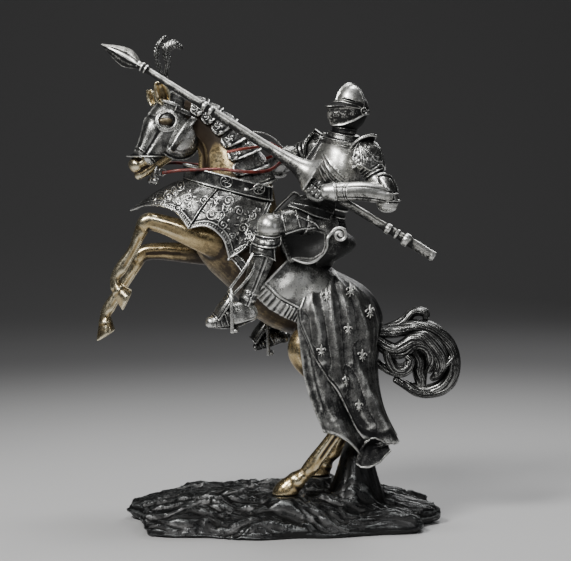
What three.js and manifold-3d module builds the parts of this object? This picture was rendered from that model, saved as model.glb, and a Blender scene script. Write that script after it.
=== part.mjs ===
// A cast statuette of a medieval knight in plate armour on a rearing, armoured horse.
// The knight couches a lance on the near side and holds the reins in the far hand.
// Frame: +Z up, the horse faces -X, the near side is -Y, and the origin is the middle of the underside.
// Three kinds of piece: the cast group, the rock base that it stands on, and the loose lance and reins.
import * as THREE from "three";
import { mergeVertices } from "three/addons/utils/BufferGeometryUtils.js";
import Module from "manifold-3d";

// Driving dimensions, in millimetres.
const FIGURE_HEIGHT = 366; // hoof soles to the top of the crest
const BASE_LENGTH = 246;
const BASE_DEPTH = 124;
const BASE_RIM = 13; // height of the rock at its edge
const BASE_GROUND = 28; // height of the rock under the near hoof
const STUMP_HEIGHT = 40; // rock stub under the rear cloth, above the ground
const LANCE_RADIUS = 2.7; // at the thin end of the shaft
const LANCE_GRIP_RADIUS = 3.1; // behind the guard, where the fist holds it
const LANCE_GUARD_RADIUS = 14.5;
const LANCE_HEAD_LENGTH = 36;
const LANCE_HEAD_RADIUS = 7.4;
const REIN_WIDTH = 2.6;
const REIN_THICKNESS = 1.6;
const PLATE = 2; // thickness of the armour plates
const CLOTH = 2.4; // thickness of the cast cloth
const GAP = 0.35; // between pieces that touch

// The figure's own proportions, as shares of its height.
const share = FIGURE_HEIGHT / 366;
const at = (x, y, z) => new THREE.Vector3(x * share, y * share, BASE_GROUND + z * share);

const wasm = await Module();
wasm.setup();

// A closed geometry as a solid.
function solid(geometry) {
  geometry.deleteAttribute("normal");
  geometry.deleteAttribute("uv");
  const merged = mergeVertices(geometry, 1e-4);
  const mesh = new wasm.Mesh({
    numProp: 3,
    vertProperties: merged.attributes.position.array,
    triVerts: new Uint32Array(merged.index.array),
  });
  mesh.merge();
  return new wasm.Manifold(mesh);
}

const join = (solids) => solids.reduce((whole, piece) => whole.add(piece));

// Moves every vertex of a geometry to where the function puts it.
function shaped(geometry, place) {
  const position = geometry.getAttribute("position");
  const p = new THREE.Vector3();
  for (let i = 0; i < position.count; i++) {
    const q = place(p.fromBufferAttribute(position, i));
    position.setXYZ(i, q.x, q.y, q.z);
  }
  return geometry;
}

// The smooth line and radii through a row of stations [x, y, z, depth, width].
function spine(stations, across) {
  const line = new THREE.CatmullRomCurve3(stations.map((s) => at(...s)), false, "catmullrom", 0.5);
  const radii = new THREE.CatmullRomCurve3(
    stations.map((s) => new THREE.Vector3(s[3] * share, s[4] * share, 0)),
    false,
    "catmullrom",
    0.5,
  );
  const side = new THREE.Vector3(...across);
  return (t) => {
    const tangent = line.getTangent(t);
    const wide = side.clone().addScaledVector(tangent, -side.dot(tangent)).normalize();
    const r = radii.getPoint(t);
    return { point: line.getPoint(t), tangent, wide, deep: wide.clone().cross(tangent), depth: r.x, width: r.y };
  };
}

// A rounded limb along its stations: a sphere drawn out along the line.
// where(ring) gives a ring's share of the line, and swell(ring, turn) what stands proud of the limb there.
function limb(stations, sides = 8, rings = 2 * stations.length, across = [0, 1, 0], form = {}) {
  const frame = spine(stations, across);
  const { where = (ring) => (ring - 1) / (rings - 2), swell = () => 0 } = form;
  const sphere = new THREE.SphereGeometry(1, sides, rings);
  const placed = shaped(sphere, (v) => {
    const ring = Math.round((Math.acos(THREE.MathUtils.clamp(v.y, -1, 1)) / Math.PI) * rings);
    const f = frame(THREE.MathUtils.clamp(where(ring), 0, 1));
    if (ring === 0) return f.point.addScaledVector(f.tangent, -0.45 * f.depth);
    if (ring === rings) return f.point.addScaledVector(f.tangent, 0.45 * f.depth);
    const turn = Math.atan2(-v.z, v.x);
    const proud = swell(ring, turn) * share;
    return f.point
      .addScaledVector(f.wide, (f.width + proud) * Math.cos(turn))
      .addScaledVector(f.deep, (f.depth + proud) * Math.sin(turn));
  });
  return solid(placed);
}

// A ball with three radii, turned about the vertical.
function ball([x, y, z], [rx, ry, rz], turn = 0, sides = 9, rings = 5) {
  const sphere = new THREE.SphereGeometry(share, sides, rings);
  sphere.rotateX(Math.PI / 2).scale(rx, ry, rz).rotateZ(turn);
  const c = at(x, y, z);
  return solid(sphere.translate(c.x, c.y, c.z));
}

// A bent plate: a slab whose faces follow surface(u, v), with u and v from 0 to 1.
function plate(surface, across, along, thickness) {
  const step = 1e-3;
  const slab = new THREE.BoxGeometry(1, 1, 1, across, along, 1);
  return solid(
    shaped(slab, (p) => {
      const u = p.x + 0.5;
      const v = p.y + 0.5;
      const here = surface(u, v);
      const du = surface(u + step, v).sub(surface(u - step, v));
      const dv = surface(u, v + step).sub(surface(u, v - step));
      return here.addScaledVector(du.cross(dv).normalize(), p.z * thickness);
    }),
  );
}

// A closed ring of the given profile [[radius, height], ...], stretched, tilted and placed.
function ring(profile, [x, y, z], stretch = 1, tilt = 0, turn = 0, segments = 20) {
  const points = profile.map(([r, h]) => new THREE.Vector2(r * share, h * share));
  const lathe = new THREE.LatheGeometry(points, segments);
  lathe.rotateX(Math.PI / 2).scale(1, stretch, 1).rotateY(tilt).rotateZ(turn);
  const c = at(x, y, z);
  return solid(lathe.translate(c.x, c.y, c.z));
}

// A smooth curve through points, read by its share of points.
const curve = (points) => new THREE.CatmullRomCurve3(points.map((p) => at(...p)), false, "catmullrom", 0.5);

// The horse.

const BARREL = [
  [-68, 0, 216, 8, 8],
  [-58, 0, 212, 22, 19],
  [-42, 0, 203, 29, 26],
  [-21, 0, 186, 31, 29],
  [2, 0, 164, 33, 29],
  [25, 0, 150, 29, 26],
  [43, 0, 137, 27, 22],
  [58, 0, 125, 20, 17],
  [66, 0, 118, 9, 9],
];
const NECK = [
  [-79, -1, 307, 10, 8],
  [-64, 0, 296, 14, 9.5],
  [-50, 0, 281, 18, 12],
  [-42, 0, 263, 24, 16],
  [-36, 0, 241, 29, 21],
  [-30, 0, 218, 28, 24],
];

// The head is modelled straight and then turned towards the near side.
const HEAD_TURN = THREE.MathUtils.degToRad(22);
const POLL = [-80, 0];
function turned([x, y, ...rest]) {
  const dx = x - POLL[0];
  const dy = y - POLL[1];
  const c = Math.cos(HEAD_TURN);
  const s = Math.sin(HEAD_TURN);
  return [POLL[0] + dx * c - dy * s, POLL[1] + dx * s + dy * c, ...rest];
}
const HEAD_SIDE = [-Math.sin(HEAD_TURN), Math.cos(HEAD_TURN), 0];

function horseHead() {
  const skull = [
    [-81, 0, 312, 8, 7.5],
    [-88, 0, 300, 14, 11],
    [-95, 0, 286, 17, 12],
    [-105, 0, 273, 11, 9],
    [-111, 0, 266, 8, 8],
  ];
  const muzzle = [
    [-105, 0, 270, 7, 7],
    [-114, 0, 264, 6.5, 7],
    [-119, 0, 260, 4.5, 5.5],
  ];
  const jaw = [
    [-92, 0, 270, 7, 6],
    [-106, 0, 259, 4.5, 5],
    [-117, 0, 253, 3.5, 4],
  ];
  const nearEar = [
    [-88, -9, 305, 2.5, 3],
    [-91, -12, 312, 2.6, 4],
    [-93, -14, 319, 2.6, 5.6],
    [-93, -14, 326, 2.2, 4.6],
    [-93, -13, 332, 1, 1.5],
  ];
  const farEar = [
    [-94, 5, 306, 2.5, 3],
    [-100, 8, 312, 2.6, 4],
    [-104, 10, 318, 2.4, 4.6],
    [-107, 11, 325, 1, 1.5],
  ];
  const lip = [
    [0.1, -0.8],
    [14, -1.6],
    [14, 0],
    [0.1, 1.4],
    [0.1, -0.8],
  ];
  const eye = (y) => ball(turned([-98, y, 297]), [6, 3.5, 5], HEAD_TURN, 8, 4);
  const cheek = (y) => ball(turned([-83, y, 287]), [17, 5.5, 17], HEAD_TURN, 10, 5);
  const bit = (y) => [
    [-101, y, 260, 2, 2],
    [-103, y, 252, 2.6, 2.4],
    [-103, y, 247, 2.2, 2],
  ];
  return [
    limb(skull.map(turned), 10, 7, HEAD_SIDE),
    limb(muzzle.map(turned), 8, 5, HEAD_SIDE),
    limb(jaw.map(turned), 6, 5, HEAD_SIDE),
    limb(nearEar, 6, 7, HEAD_SIDE),
    limb(farEar, 6, 6, HEAD_SIDE),
    ring(lip, turned([-107, 0, 270]), 0.72, -0.12, HEAD_TURN, 10),
    eye(-9.5),
    eye(9.5),
    cheek(-8.5),
    cheek(8.5),
    limb(bit(-4.5).map(turned), 4, 4),
    limb(bit(4.5).map(turned), 4, 4),
  ];
}

function crest() {
  const plumes = [
    [
      [-88, 0, 308, 2, 2.4],
      [-92, 0, 320, 2, 2.4],
      [-96, 0, 334, 1.9, 2.2],
      [-97, 0, 349, 1.8, 2],
      [-90, 0, 364.5, 1, 1.2],
    ],
    [
      [-87, 0, 308, 2, 2.4],
      [-91, 0, 320, 2, 2.4],
      [-93, 0, 336, 1.9, 2.4],
      [-90, 0, 350, 1.9, 2.6],
      [-80, 0, 354, 1.2, 1.5],
    ],
    [
      [-86, 0, 308, 1.8, 2],
      [-88, 0, 320, 1.8, 2],
      [-90, 0, 330, 1.7, 2],
      [-90, 0, 342, 1.6, 2],
      [-84, 0, 348, 1, 1.2],
    ],
  ];
  return plumes.map((p) => limb(p, 4, 7));
}

// The neck, with plates that lap like tiles over its crest: each plate rises to its lower edge.
const LAMES = 7;
const LAMES_FROM = 0.04;
const LAMES_TO = 0.8;
const LAME_RISE = 2.4;
function neck() {
  const where = (ring) => {
    const lame = Math.floor((ring - 1) / 2);
    if (lame >= LAMES) return 1;
    const length = (LAMES_TO - LAMES_FROM) / LAMES;
    return LAMES_FROM + length * (lame + (ring % 2 === 1 ? 0.02 : 0.98));
  };
  const swell = (ring, turn) => {
    const plated = Math.sin(turn) < 0.1 && ring <= 2 * LAMES;
    return plated ? PLATE + (ring % 2 === 1 ? 0 : LAME_RISE) : 0;
  };
  return limb(NECK, 10, 2 * LAMES + 2, [0, 1, 0], { where, swell });
}

// The band round the foot of the neck, which the breast plate flares out from.
const COLLAR = { x: -40, z: 247, long: 38, wide: 25, tilt: 0.26, tall: 12 };

// The lower edge of the breast plate, from the beak in front to the rider's knee: two scallops and a rise.
const SCALLOPS = [
  { upTo: 6 / 12, points: [[-120, 0, 224], [-104, -19, 229], [-84, -31, 226], [-72, -36, 212]] },
  { upTo: 10 / 12, points: [[-72, -36, 212], [-58, -39, 214], [-46, -39, 205], [-41, -37, 188]] },
  { upTo: 1, points: [[-41, -37, 188], [-30, -36, 195], [-19, -34, 206]] },
];
function breastEdge(reach) {
  let from = 0;
  for (const { upTo, points } of SCALLOPS) {
    if (reach <= upTo + 1e-9 || upTo === 1) {
      const t = THREE.MathUtils.clamp((reach - from) / (upTo - from), 0, 1);
      return curve(points).getPoint(t);
    }
    from = upTo;
  }
}
const BREAST_TURN = THREE.MathUtils.degToRad(152);
const COLLAR_SHARE = 1 / 3; // of the rows of the plate, from the top
function breastSurface(u, v) {
  const signed = 2 * u - 1;
  const reach = Math.abs(signed);
  const side = Math.sign(signed) || 1;
  const turn = reach * BREAST_TURN;
  const dx = -Math.cos(turn) * (COLLAR.long - 2);
  const band = THREE.MathUtils.clamp(1 - v / COLLAR_SHARE, 0, 1);
  const down = Math.max(0, (v - COLLAR_SHARE) / (1 - COLLAR_SHARE));
  const top = at(COLLAR.x + dx, 0, COLLAR.z + (band - 0.5) * COLLAR.tall - dx * Math.tan(COLLAR.tilt));
  const edge = breastEdge(reach);
  const swell = Math.sin(Math.PI * Math.min(1, down)) * share;
  return new THREE.Vector3(
    THREE.MathUtils.lerp(top.x, edge.x, down) - 2 * swell * Math.cos(turn),
    side *
      (Math.sin(turn) * COLLAR.wide * share * (1 - down) + Math.abs(edge.y) * down + 4 * swell * Math.sin(turn)),
    THREE.MathUtils.lerp(top.z, edge.z, down) + 1.5 * swell,
  );
}

// Legs: shoulder or hip to the coronet, and the hoof after it.
const NEAR_FORE = [
  [-46, -16, 200, 15, 10],
  [-72, -20, 208, 10, 8],
  [-92, -21, 215, 7.6, 6.6],
  [-105, -21, 217, 7, 6.2],
  [-111, -21, 208, 5, 5],
  [-117, -21, 195, 3.8, 3.8],
  [-126, -21, 181, 4.8, 4.6],
  [-129, -21, 172, 3.7, 3.8],
  [-126, -21, 164, 4.6, 5],
];
const NEAR_FORE_HOOF = [
  [-126, -21, 165, 5, 5.4],
  [-122, -21, 159, 7, 7],
  [-119, -21, 154, 8.4, 8],
];
const FAR_FORE = [
  [-46, 16, 192, 14, 10],
  [-72, 19, 190, 9, 8],
  [-98, 20, 191, 7, 6.6],
  [-112, 20, 189, 6.6, 6.2],
  [-119, 20, 178, 4.8, 5],
  [-129, 20, 162, 3.8, 3.8],
  [-141, 20, 143, 4.8, 4.6],
  [-145, 20, 134, 3.7, 3.8],
  [-145, 20, 128, 4.6, 5],
];
const FAR_FORE_HOOF = [
  [-145, 20, 129, 5, 5.4],
  [-146, 20, 123, 6.6, 6.6],
  [-147, 20, 117, 7.6, 7.4],
];
const NEAR_HIND = [
  [44, -12, 132, 18, 13],
  [20, -21, 117, 15, 11],
  [33, -22, 96, 11, 8.5],
  [54, -22, 78, 8, 6.5],
  [52, -22, 62, 6.2, 5.4],
  [40, -22, 45, 4.8, 4.6],
  [25, -22, 24, 6, 5.6],
  [18, -22, 15, 5, 5],
];
const NEAR_HIND_HOOF = [
  [18, -22, 16, 5.6, 5.8],
  [10, -22, 9, 8, 7.6],
  [4, -22, 2, 10, 9],
  [2, -22, -3, 10, 9],
];
const FAR_HIND = [
  [46, 12, 130, 18, 13],
  [24, 21, 114, 15, 11],
  [44, 21, 93, 11, 8.5],
  [69, 19, 73, 8, 6.5],
  [66, 18, 60, 6.2, 5.4],
  [55, 18, 46, 4.8, 4.6],
  [43, 18, 28, 6, 5.6],
  [38, 18, 21, 5, 5],
];
const FAR_HIND_HOOF = [
  [38, 18, 22, 5.6, 5.8],
  [34, 18, 16, 8, 7.6],
  [30, 18, 9, 10, 9],
  [29, 18, 4, 10, 9],
];

const TAIL_LOCKS = [
  [
    [72, 0, 128, 5, 6],
    [88, 0, 127, 8, 9],
    [101, 0, 126, 9.5, 10],
    [115, 0, 124, 10, 10],
    [128, 0, 114, 10, 10],
    [135, 0, 100, 9.5, 9],
    [133, 0, 88, 8, 8],
    [121, 0, 80, 6, 7],
    [108, 0, 81, 5, 5],
    [97, 0, 88, 3, 3],
  ],
  [
    [82, -2, 122, 5, 5],
    [89, -4, 112, 5.4, 5],
    [95, -4, 103, 5.4, 5],
    [103, -3, 99, 4, 4],
    [109, -2, 103, 2.4, 2.6],
  ],
  [
    [84, 3, 130, 4, 5],
    [99, 4, 137, 4, 5],
    [108, 5, 144, 4, 5],
    [118, 5, 145, 2, 3],
  ],
  [
    [102, 3, 118, 6, 6],
    [115, 4, 106, 7, 7],
    [121, 4, 94, 6, 7],
    [114, 3, 86, 4.5, 5],
  ],
  [
    [72, 2, 106, 3, 3.5],
    [84, 2, 97, 3, 4],
    [94, 1, 93, 3.4, 4],
    [106, 0, 97, 3, 3.5],
  ],
];

// The cloths.

// The rear cloth hangs from the back in a U: its rear line, and its near front edge.
const CLOTH_REAR = curve([
  [36, 0, 178],
  [58, 0, 167],
  [71, 0, 156],
  [78, 0, 139],
  [76, 0, 118],
  [75, 0, 98],
  [80, 0, 73],
  [94, 0, 43],
]);
const CLOTH_FRONT = curve([
  [34, -7, 177],
  [20, -27, 160],
  [13, -33, 142],
  [15, -34, 120],
  [18, -35, 98],
  [24, -36, 76],
  [34, -37, 52],
]);
const CLOTH_FOLDS = 6.5;
const HEM_CORNER = 0.68; // where the hem hangs lowest, from the back round to the front edge
const HEM_DROP = 16;
function rearCloth(u, v) {
  const signed = 2 * u - 1;
  const reach = Math.abs(signed);
  const side = Math.sign(signed) || 1;
  const down = THREE.MathUtils.clamp(v, 0, 1);
  const rear = CLOTH_REAR.getPoint(down);
  const front = CLOTH_FRONT.getPoint(down);
  const quarter = (reach * Math.PI) / 2;
  const fold = share * (0.3 + 3.2 * down * down) * Math.cos(reach * CLOTH_FOLDS * 2 + 2.2 * down);
  const corner = Math.exp(-(((reach - HEM_CORNER) / 0.16) ** 2));
  const hem = -share * THREE.MathUtils.smoothstep(down, 0.7, 1) * (7 * (1 - reach) + HEM_DROP * corner);
  return new THREE.Vector3(
    THREE.MathUtils.lerp(rear.x, front.x, 1 - Math.cos(quarter)) + fold * Math.cos(quarter),
    side * (Math.abs(front.y) * Math.pow(Math.sin(quarter), 0.8) + fold * Math.sin(quarter)),
    THREE.MathUtils.lerp(rear.z, front.z, reach) + hem,
  );
}

// The barrel of the horse, with the saddle cloth round it as a raised band.
const BARREL_RINGS = [0, 0.08, 0.18, 0.31, 0.445, 0.46, 0.565, 0.66, 0.68, 0.84, 1];
const SADDLE_CLOTH = { from: 5, to: 7, reach: THREE.MathUtils.degToRad(118), rise: 3 };
function barrel() {
  const where = (ring) => BARREL_RINGS[ring - 1] ?? ring;
  const swell = (ring, turn) => {
    const along = ring > SADDLE_CLOTH.from && ring <= SADDLE_CLOTH.to + 1;
    const fromBack = Math.abs(THREE.MathUtils.euclideanModulo(turn + Math.PI / 2 + Math.PI, 2 * Math.PI) - Math.PI);
    return along && fromBack < SADDLE_CLOTH.reach ? SADDLE_CLOTH.rise : 0;
  };
  return limb(BARREL, 12, BARREL_RINGS.length + 1, [0, 1, 0], { where, swell });
}

// The saddle.

function cantle(u, v) {
  const turn = (2 * u - 1) * THREE.MathUtils.degToRad(92);
  const bowl = Math.sin(0.5 * Math.PI * v);
  return at(28 + (10 + 20 * bowl) * Math.cos(turn), (20 + 6 * bowl) * Math.sin(turn), 179 + 30 * v);
}
function pommel(u, v) {
  const turn = (2 * u - 1) * THREE.MathUtils.degToRad(80);
  return at(6 - 10 * Math.cos(turn) + 9 * v, 27 * Math.sin(turn), 205 + 30 * v - 12 * Math.sin(turn) ** 2);
}
const saddleFlap = (y) => [
  [28, 0.86 * y, 208, 9, 4],
  [24, y, 196, 15, 4],
  [22, 1.04 * y, 186, 11, 3],
];
// The scroll at each end of the saddle's back edge.
const volute = (y) => [
  [30, y, 186, 2, 2],
  [38, y, 192, 2, 2],
  [41, y, 203, 2, 2],
  [46, y, 210, 2, 2],
  [51, y, 205, 2, 2],
  [47, y, 200, 2, 2],
];

// The knight.

const BODY_TURN = THREE.MathUtils.degToRad(40);
const BODY_SIDE = [Math.sin(BODY_TURN), -Math.cos(BODY_TURN), 0];
const HELM_TURN = THREE.MathUtils.degToRad(20);
const HELM = [52, -3, 306];
// From the skirt of mail under the saddle's edge up to the rim of the gorget.
const TORSO = [
  [33, 0, 200, 16, 18],
  [34, 0, 213, 17, 19],
  [37, 0, 225, 12, 14],
  [41, -1, 240, 15, 18],
  [44, -2, 256, 18, 22],
  [46, -2, 270, 16, 21],
  [47, -2, 279, 15, 16],
  [48, -2, 284, 11.5, 12],
  [48, -2, 291, 11, 11],
];
const NEAR_UPPER_ARM = [
  [66, -25, 266, 9, 9],
  [73, -29, 253, 8, 8],
  [81, -34, 238, 8, 8],
];
const NEAR_FOREARM = [
  [83, -36, 238, 8, 8],
  [68, -43, 242, 8.4, 8.4],
  [50, -47, 242, 8, 8],
  [37, -48, 242, 6.4, 6.4],
];
const FAR_UPPER_ARM = [
  [30, 20, 276, 8, 8],
  [14, 31, 269, 7.4, 7.4],
  [-1, 40, 260, 7, 7],
];
const FAR_FOREARM = [
  [-2, 38, 260, 7, 7],
  [0, 22, 264, 7.4, 7.4],
  [5, 4, 269, 5.6, 5.6],
];
const NEAR_THIGH = [
  [36, -12, 210, 13, 12],
  [22, -24, 216, 12.5, 11.5],
  [6, -33, 217, 11, 10.5],
  [-8, -38, 212, 9, 9],
];
const NEAR_SHIN = [
  [-9, -38, 207, 8.4, 8.4],
  [-14, -40, 190, 8.6, 8],
  [-20, -41, 173, 7, 6.6],
  [-27, -42, 152, 5.6, 5.6],
];
const NEAR_FOOT = [
  [-21, -42, 144, 5, 5],
  [-29, -43, 147, 8.4, 6.4],
  [-45, -45, 143, 6.4, 6.8],
  [-57, -46, 139, 2.6, 3.6],
];
const FAR_THIGH = [
  [36, 12, 210, 13, 12],
  [22, 25, 211, 12.5, 11.5],
  [8, 34, 206, 9.5, 9.5],
];
const FAR_SHIN = [
  [4, 37, 200, 8.4, 8.4],
  [2, 39, 176, 8.4, 8],
  [-2, 41, 150, 6.6, 6.4],
  [-4, 42, 128, 5.6, 5.6],
];
const FAR_FOOT = [
  [6, 42, 118, 5, 5],
  [-3, 43, 119, 7.2, 6.2],
  [-13, 44, 113, 5.6, 6.4],
  [-21, 44, 108, 2.4, 3.4],
];

function helmet() {
  const [x, y, z] = HELM;
  const c = Math.cos(HELM_TURN);
  const s = Math.sin(HELM_TURN);
  const skull = new THREE.SphereGeometry(1, 12, 8);
  skull.rotateX(Math.PI / 2);
  shaped(skull, (v) => {
    const prow = v.x < 0 ? 1 + 0.5 * Math.exp(-((v.z + 0.15) ** 2) * 7) * v.x * v.x : 1;
    const chin = v.z < 0 ? 1 - 0.3 * v.z * v.z : 1;
    const fore = 14 * v.x * prow * chin + 3;
    const wide = 12.5 * v.y * chin;
    return at(x + fore * c - wide * s, y + fore * s + wide * c, z + 18 * v.z);
  });
  return solid(skull);
}

function knight() {
  const shoulderWing = (u, v) =>
    at(57 + 19 * u, -17 - 10 * u - 3 * v, 275 + 8 * v + 4 * u + 3 * Math.sin(Math.PI * u));
  const farWing = (u, v) => at(23 + 8 * u, 14 - 6 * u + 3 * v, 280 + 9 * v);
  return [
    limb(TORSO, 12, 9, BODY_SIDE),
    helmet(),
    ball([66, -24, 269], [14, 12, 15], BODY_TURN),
    ball([30, 19, 275], [11, 11, 12], BODY_TURN),
    plate(shoulderWing, 4, 1, PLATE),
    plate(farWing, 2, 1, PLATE),
    limb(NEAR_UPPER_ARM),
    ball([82, -35, 235], [10.5, 9, 10.5]),
    limb(NEAR_FOREARM),
    ball([40, -47, 242], [7, 9, 9], -0.3, 8, 6),
    ball([27, -42, 243], [8.5, 8.5, 9]),
    limb(FAR_UPPER_ARM, 6, 5, [0, 0, 1]),
    ball([-2, 41, 259], [9.5, 9, 10]),
    limb(FAR_FOREARM, 6, 5, [0, 0, 1]),
    ball([6, -3, 270], [7.5, 7.5, 7.5], 0, 8, 6),
    limb(NEAR_THIGH, 10, 7),
    ball([-9, -38, 212], [10.5, 10, 11]),
    limb(NEAR_SHIN, 8, 7),
    limb(NEAR_FOOT, 8, 7),
    limb(FAR_THIGH, 10, 6),
    ball([4, 37, 203], [10, 10, 11]),
    limb(FAR_SHIN, 8, 6),
    limb(FAR_FOOT, 6, 6),
    ...stirrup(-35, -44, 148, 186),
    ...stirrup(-8, 43, 119, 176),
  ];
}

// A stirrup under the foot, and the strap that it hangs from.
function stirrup(x, y, z, top) {
  const side = Math.sign(y);
  const sole = [
    [x, y - 8.5, z - 6.5, 1.6, 4],
    [x, y, z - 7.5, 1.6, 4.5],
    [x, y + 8.5, z - 6.5, 1.6, 4],
  ];
  const bow = [
    [x, y + side * 8.5, z - 7, 1.8, 1.6],
    [x, y + side * 9, z + 4, 1.6, 1.4],
    [x + 1, y + side * 6, z + 14, 1.6, 1.4],
    [x + 3, y, z + 18, 1.8, 1.8],
  ];
  const strap = [
    [x + 3, y, z + 17, 1.6, 2],
    [x + 12, y + side * 1.5, z + 30, 1.6, 2],
    [x + 22, y - side * 3, top + 6, 1.8, 2.4],
  ];
  return [limb(sole, 4, 4, [1, 0, 0]), limb(bow, 4, 6, [1, 0, 0]), limb(strap, 4, 5)];
}

// The loose pieces.

// The lance is two turned pieces in one: its rear rod runs a little below the line of its fore part.
const LANCE_TIP = at(-138, -34, 357.5);
const LANCE_GUARD = at(25, -40, 254);
const LANCE_REAR = at(20, -39.7, 251.7);
const LANCE_BUTT = at(119, -44, 191);
const FORE_LENGTH = LANCE_TIP.distanceTo(LANCE_GUARD);
const REAR_LENGTH = LANCE_REAR.distanceTo(LANCE_BUTT);
const LANCE_DROOP = 2.4; // of the head, below the line of the shaft

// Lays a shape turned about +Y along the line between two points.
function laid(geometry, from, to) {
  const along = to.clone().sub(from).normalize();
  geometry.applyQuaternion(new THREE.Quaternion().setFromUnitVectors(new THREE.Vector3(0, 1, 0), along));
  return geometry.translate(from.x, from.y, from.z);
}

const turnedShape = (profile, sides) =>
  new THREE.LatheGeometry(profile.map(([radius, along]) => new THREE.Vector2(radius, along)), sides);

function lance() {
  const r = LANCE_RADIUS;
  const collar = LANCE_HEAD_LENGTH;
  const fore = turnedShape(
    [
      [0, 0],
      [0.55 * LANCE_HEAD_RADIUS, 0.3 * LANCE_HEAD_LENGTH],
      [LANCE_HEAD_RADIUS, 0.66 * LANCE_HEAD_LENGTH],
      [1.1 * r, LANCE_HEAD_LENGTH],
      [1.5 * r, collar + 1],
      [1.5 * r, collar + 6],
      [r, collar + 7],
      [1.15 * r, FORE_LENGTH - 70],
      [1.45 * r, FORE_LENGTH - 30],
      [2.1 * r, FORE_LENGTH - 15],
      [0.7 * LANCE_GUARD_RADIUS, FORE_LENGTH - 5],
      [LANCE_GUARD_RADIUS, FORE_LENGTH - 1.4],
      [LANCE_GUARD_RADIUS, FORE_LENGTH],
      [0, FORE_LENGTH - 3],
    ],
    8,
  );
  shaped(fore, (p) => {
    const bend = Math.max(0, 1 - p.y / (collar + 7));
    return p.setZ(p.z - LANCE_DROOP * bend * bend);
  });
  const b = LANCE_GRIP_RADIUS;
  const rear = turnedShape(
    [
      [0, 0],
      [b, 0],
      [b, REAR_LENGTH - 44],
      [1.3 * b, REAR_LENGTH - 41],
      [1.3 * b, REAR_LENGTH - 38],
      [b, REAR_LENGTH - 36],
      [1.1 * b, REAR_LENGTH - 29],
      [1.65 * b, REAR_LENGTH - 26],
      [1.65 * b, REAR_LENGTH - 22],
      [1.2 * b, REAR_LENGTH],
      [0, REAR_LENGTH],
    ],
    8,
  );
  const whole = solid(laid(fore, LANCE_TIP, LANCE_GUARD)).add(solid(laid(rear, LANCE_REAR, LANCE_BUTT)));
  return geometryOf(whole);
}

// The straps of the bridle: from the bit, or from a neck plate, back to the far hand.
const REINS = {
  rein_near: [
    [-93, -18, 256],
    [-80, -22, 259],
    [-64, -22, 261],
    [-46, -25, 259],
    [-26, -25, 256],
    [-10, -17, 257],
    [0, -9, 264],
    [5, -6, 270],
  ],
  rein_far: [
    [-108, 2, 254],
    [-92, 18, 262],
    [-66, 19, 261],
    [-46, 25, 260],
    [-28, 26, 262],
    [-12, 18, 266],
    [-2, 6, 270],
    [3, 1, 271],
  ],
};
function rein(points, grow) {
  const half = REIN_WIDTH / 2 + grow;
  const thin = REIN_THICKNESS / 2 + grow;
  const section = new THREE.Shape([
    new THREE.Vector2(-thin, -half),
    new THREE.Vector2(thin, -half),
    new THREE.Vector2(thin, half),
    new THREE.Vector2(-thin, half),
  ]);
  return new THREE.ExtrudeGeometry(section, { steps: 11, bevelEnabled: false, extrudePath: curve(points) });
}

// The rock base.

// Level spots [x, y, height above the ground, reach] under the hooves.
const HOOF_PADS = [
  [4, -22, 0, 15],
  [30, 18, 8, 14],
];
const STUMP = { x: 62, y: 0, reach: 19 };
function rockHeight(x, y, edge) {
  const strata = 2.4 * Math.sin(x * 0.07 + 2.1 * Math.sin(y * 0.09)) + 1.6 * Math.sin(y * 0.31 + x * 0.05);
  const slope = (BASE_GROUND - BASE_RIM) * (1 - Math.pow(edge, 2.6)) + 7 * edge * (y / (0.5 * BASE_DEPTH));
  let height = BASE_RIM + slope + strata * (1 - 0.4 * edge);
  for (const [px, py, rise, reach] of HOOF_PADS) {
    const near = Math.hypot(x - px * share, y - py * share) / (reach * share);
    height = THREE.MathUtils.lerp(BASE_GROUND + rise * share, height, THREE.MathUtils.smoothstep(near, 0.9, 1.5));
  }
  const lean = Math.hypot(x - STUMP.x * share, (y - STUMP.y * share) / 1.1) / (STUMP.reach * share);
  return height + (STUMP_HEIGHT + strata) * (1 - THREE.MathUtils.smoothstep(lean, 0.4, 1.25));
}
const ROCK_TOP_RINGS = 12;
function rockBase() {
  const rings = ROCK_TOP_RINGS + 2;
  const disc = new THREE.SphereGeometry(1, 30, rings);
  disc.rotateX(Math.PI / 2);
  return solid(
    shaped(disc, (v) => {
      const ring = Math.round((Math.acos(THREE.MathUtils.clamp(v.z, -1, 1)) / Math.PI) * rings);
      const turn = Math.atan2(v.y, v.x);
      const ragged =
        1 + 0.05 * Math.sin(3 * turn + 1) + 0.035 * Math.sin(7 * turn) + 0.03 * Math.sin(11 * turn + 2);
      const top = ring <= ROCK_TOP_RINGS;
      const edge = top ? ring / ROCK_TOP_RINGS : rings - ring;
      const squircle = Math.pow(Math.abs(Math.cos(turn)) ** 3 + Math.abs(Math.sin(turn)) ** 3, -1 / 3);
      const reach = ragged * squircle * 0.95 * edge;
      const x = 0.5 * BASE_LENGTH * reach * Math.cos(turn);
      const y = 0.5 * BASE_DEPTH * reach * Math.sin(turn);
      return new THREE.Vector3(x, y, top ? rockHeight(x, y, edge) : 0);
    }),
  );
}

// The whole, put together.

const silver = new THREE.MeshStandardMaterial({ color: 0x9b9b98, roughness: 0.4, metalness: 0.85 });
const rock = new THREE.MeshStandardMaterial({ color: 0x26282a, roughness: 0.6, metalness: 0.3 });
const steel = new THREE.MeshStandardMaterial({ color: 0xb9b8b0, roughness: 0.3, metalness: 0.9 });
const red = new THREE.MeshStandardMaterial({ color: 0x7c2a22, roughness: 0.6, metalness: 0 });

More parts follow.
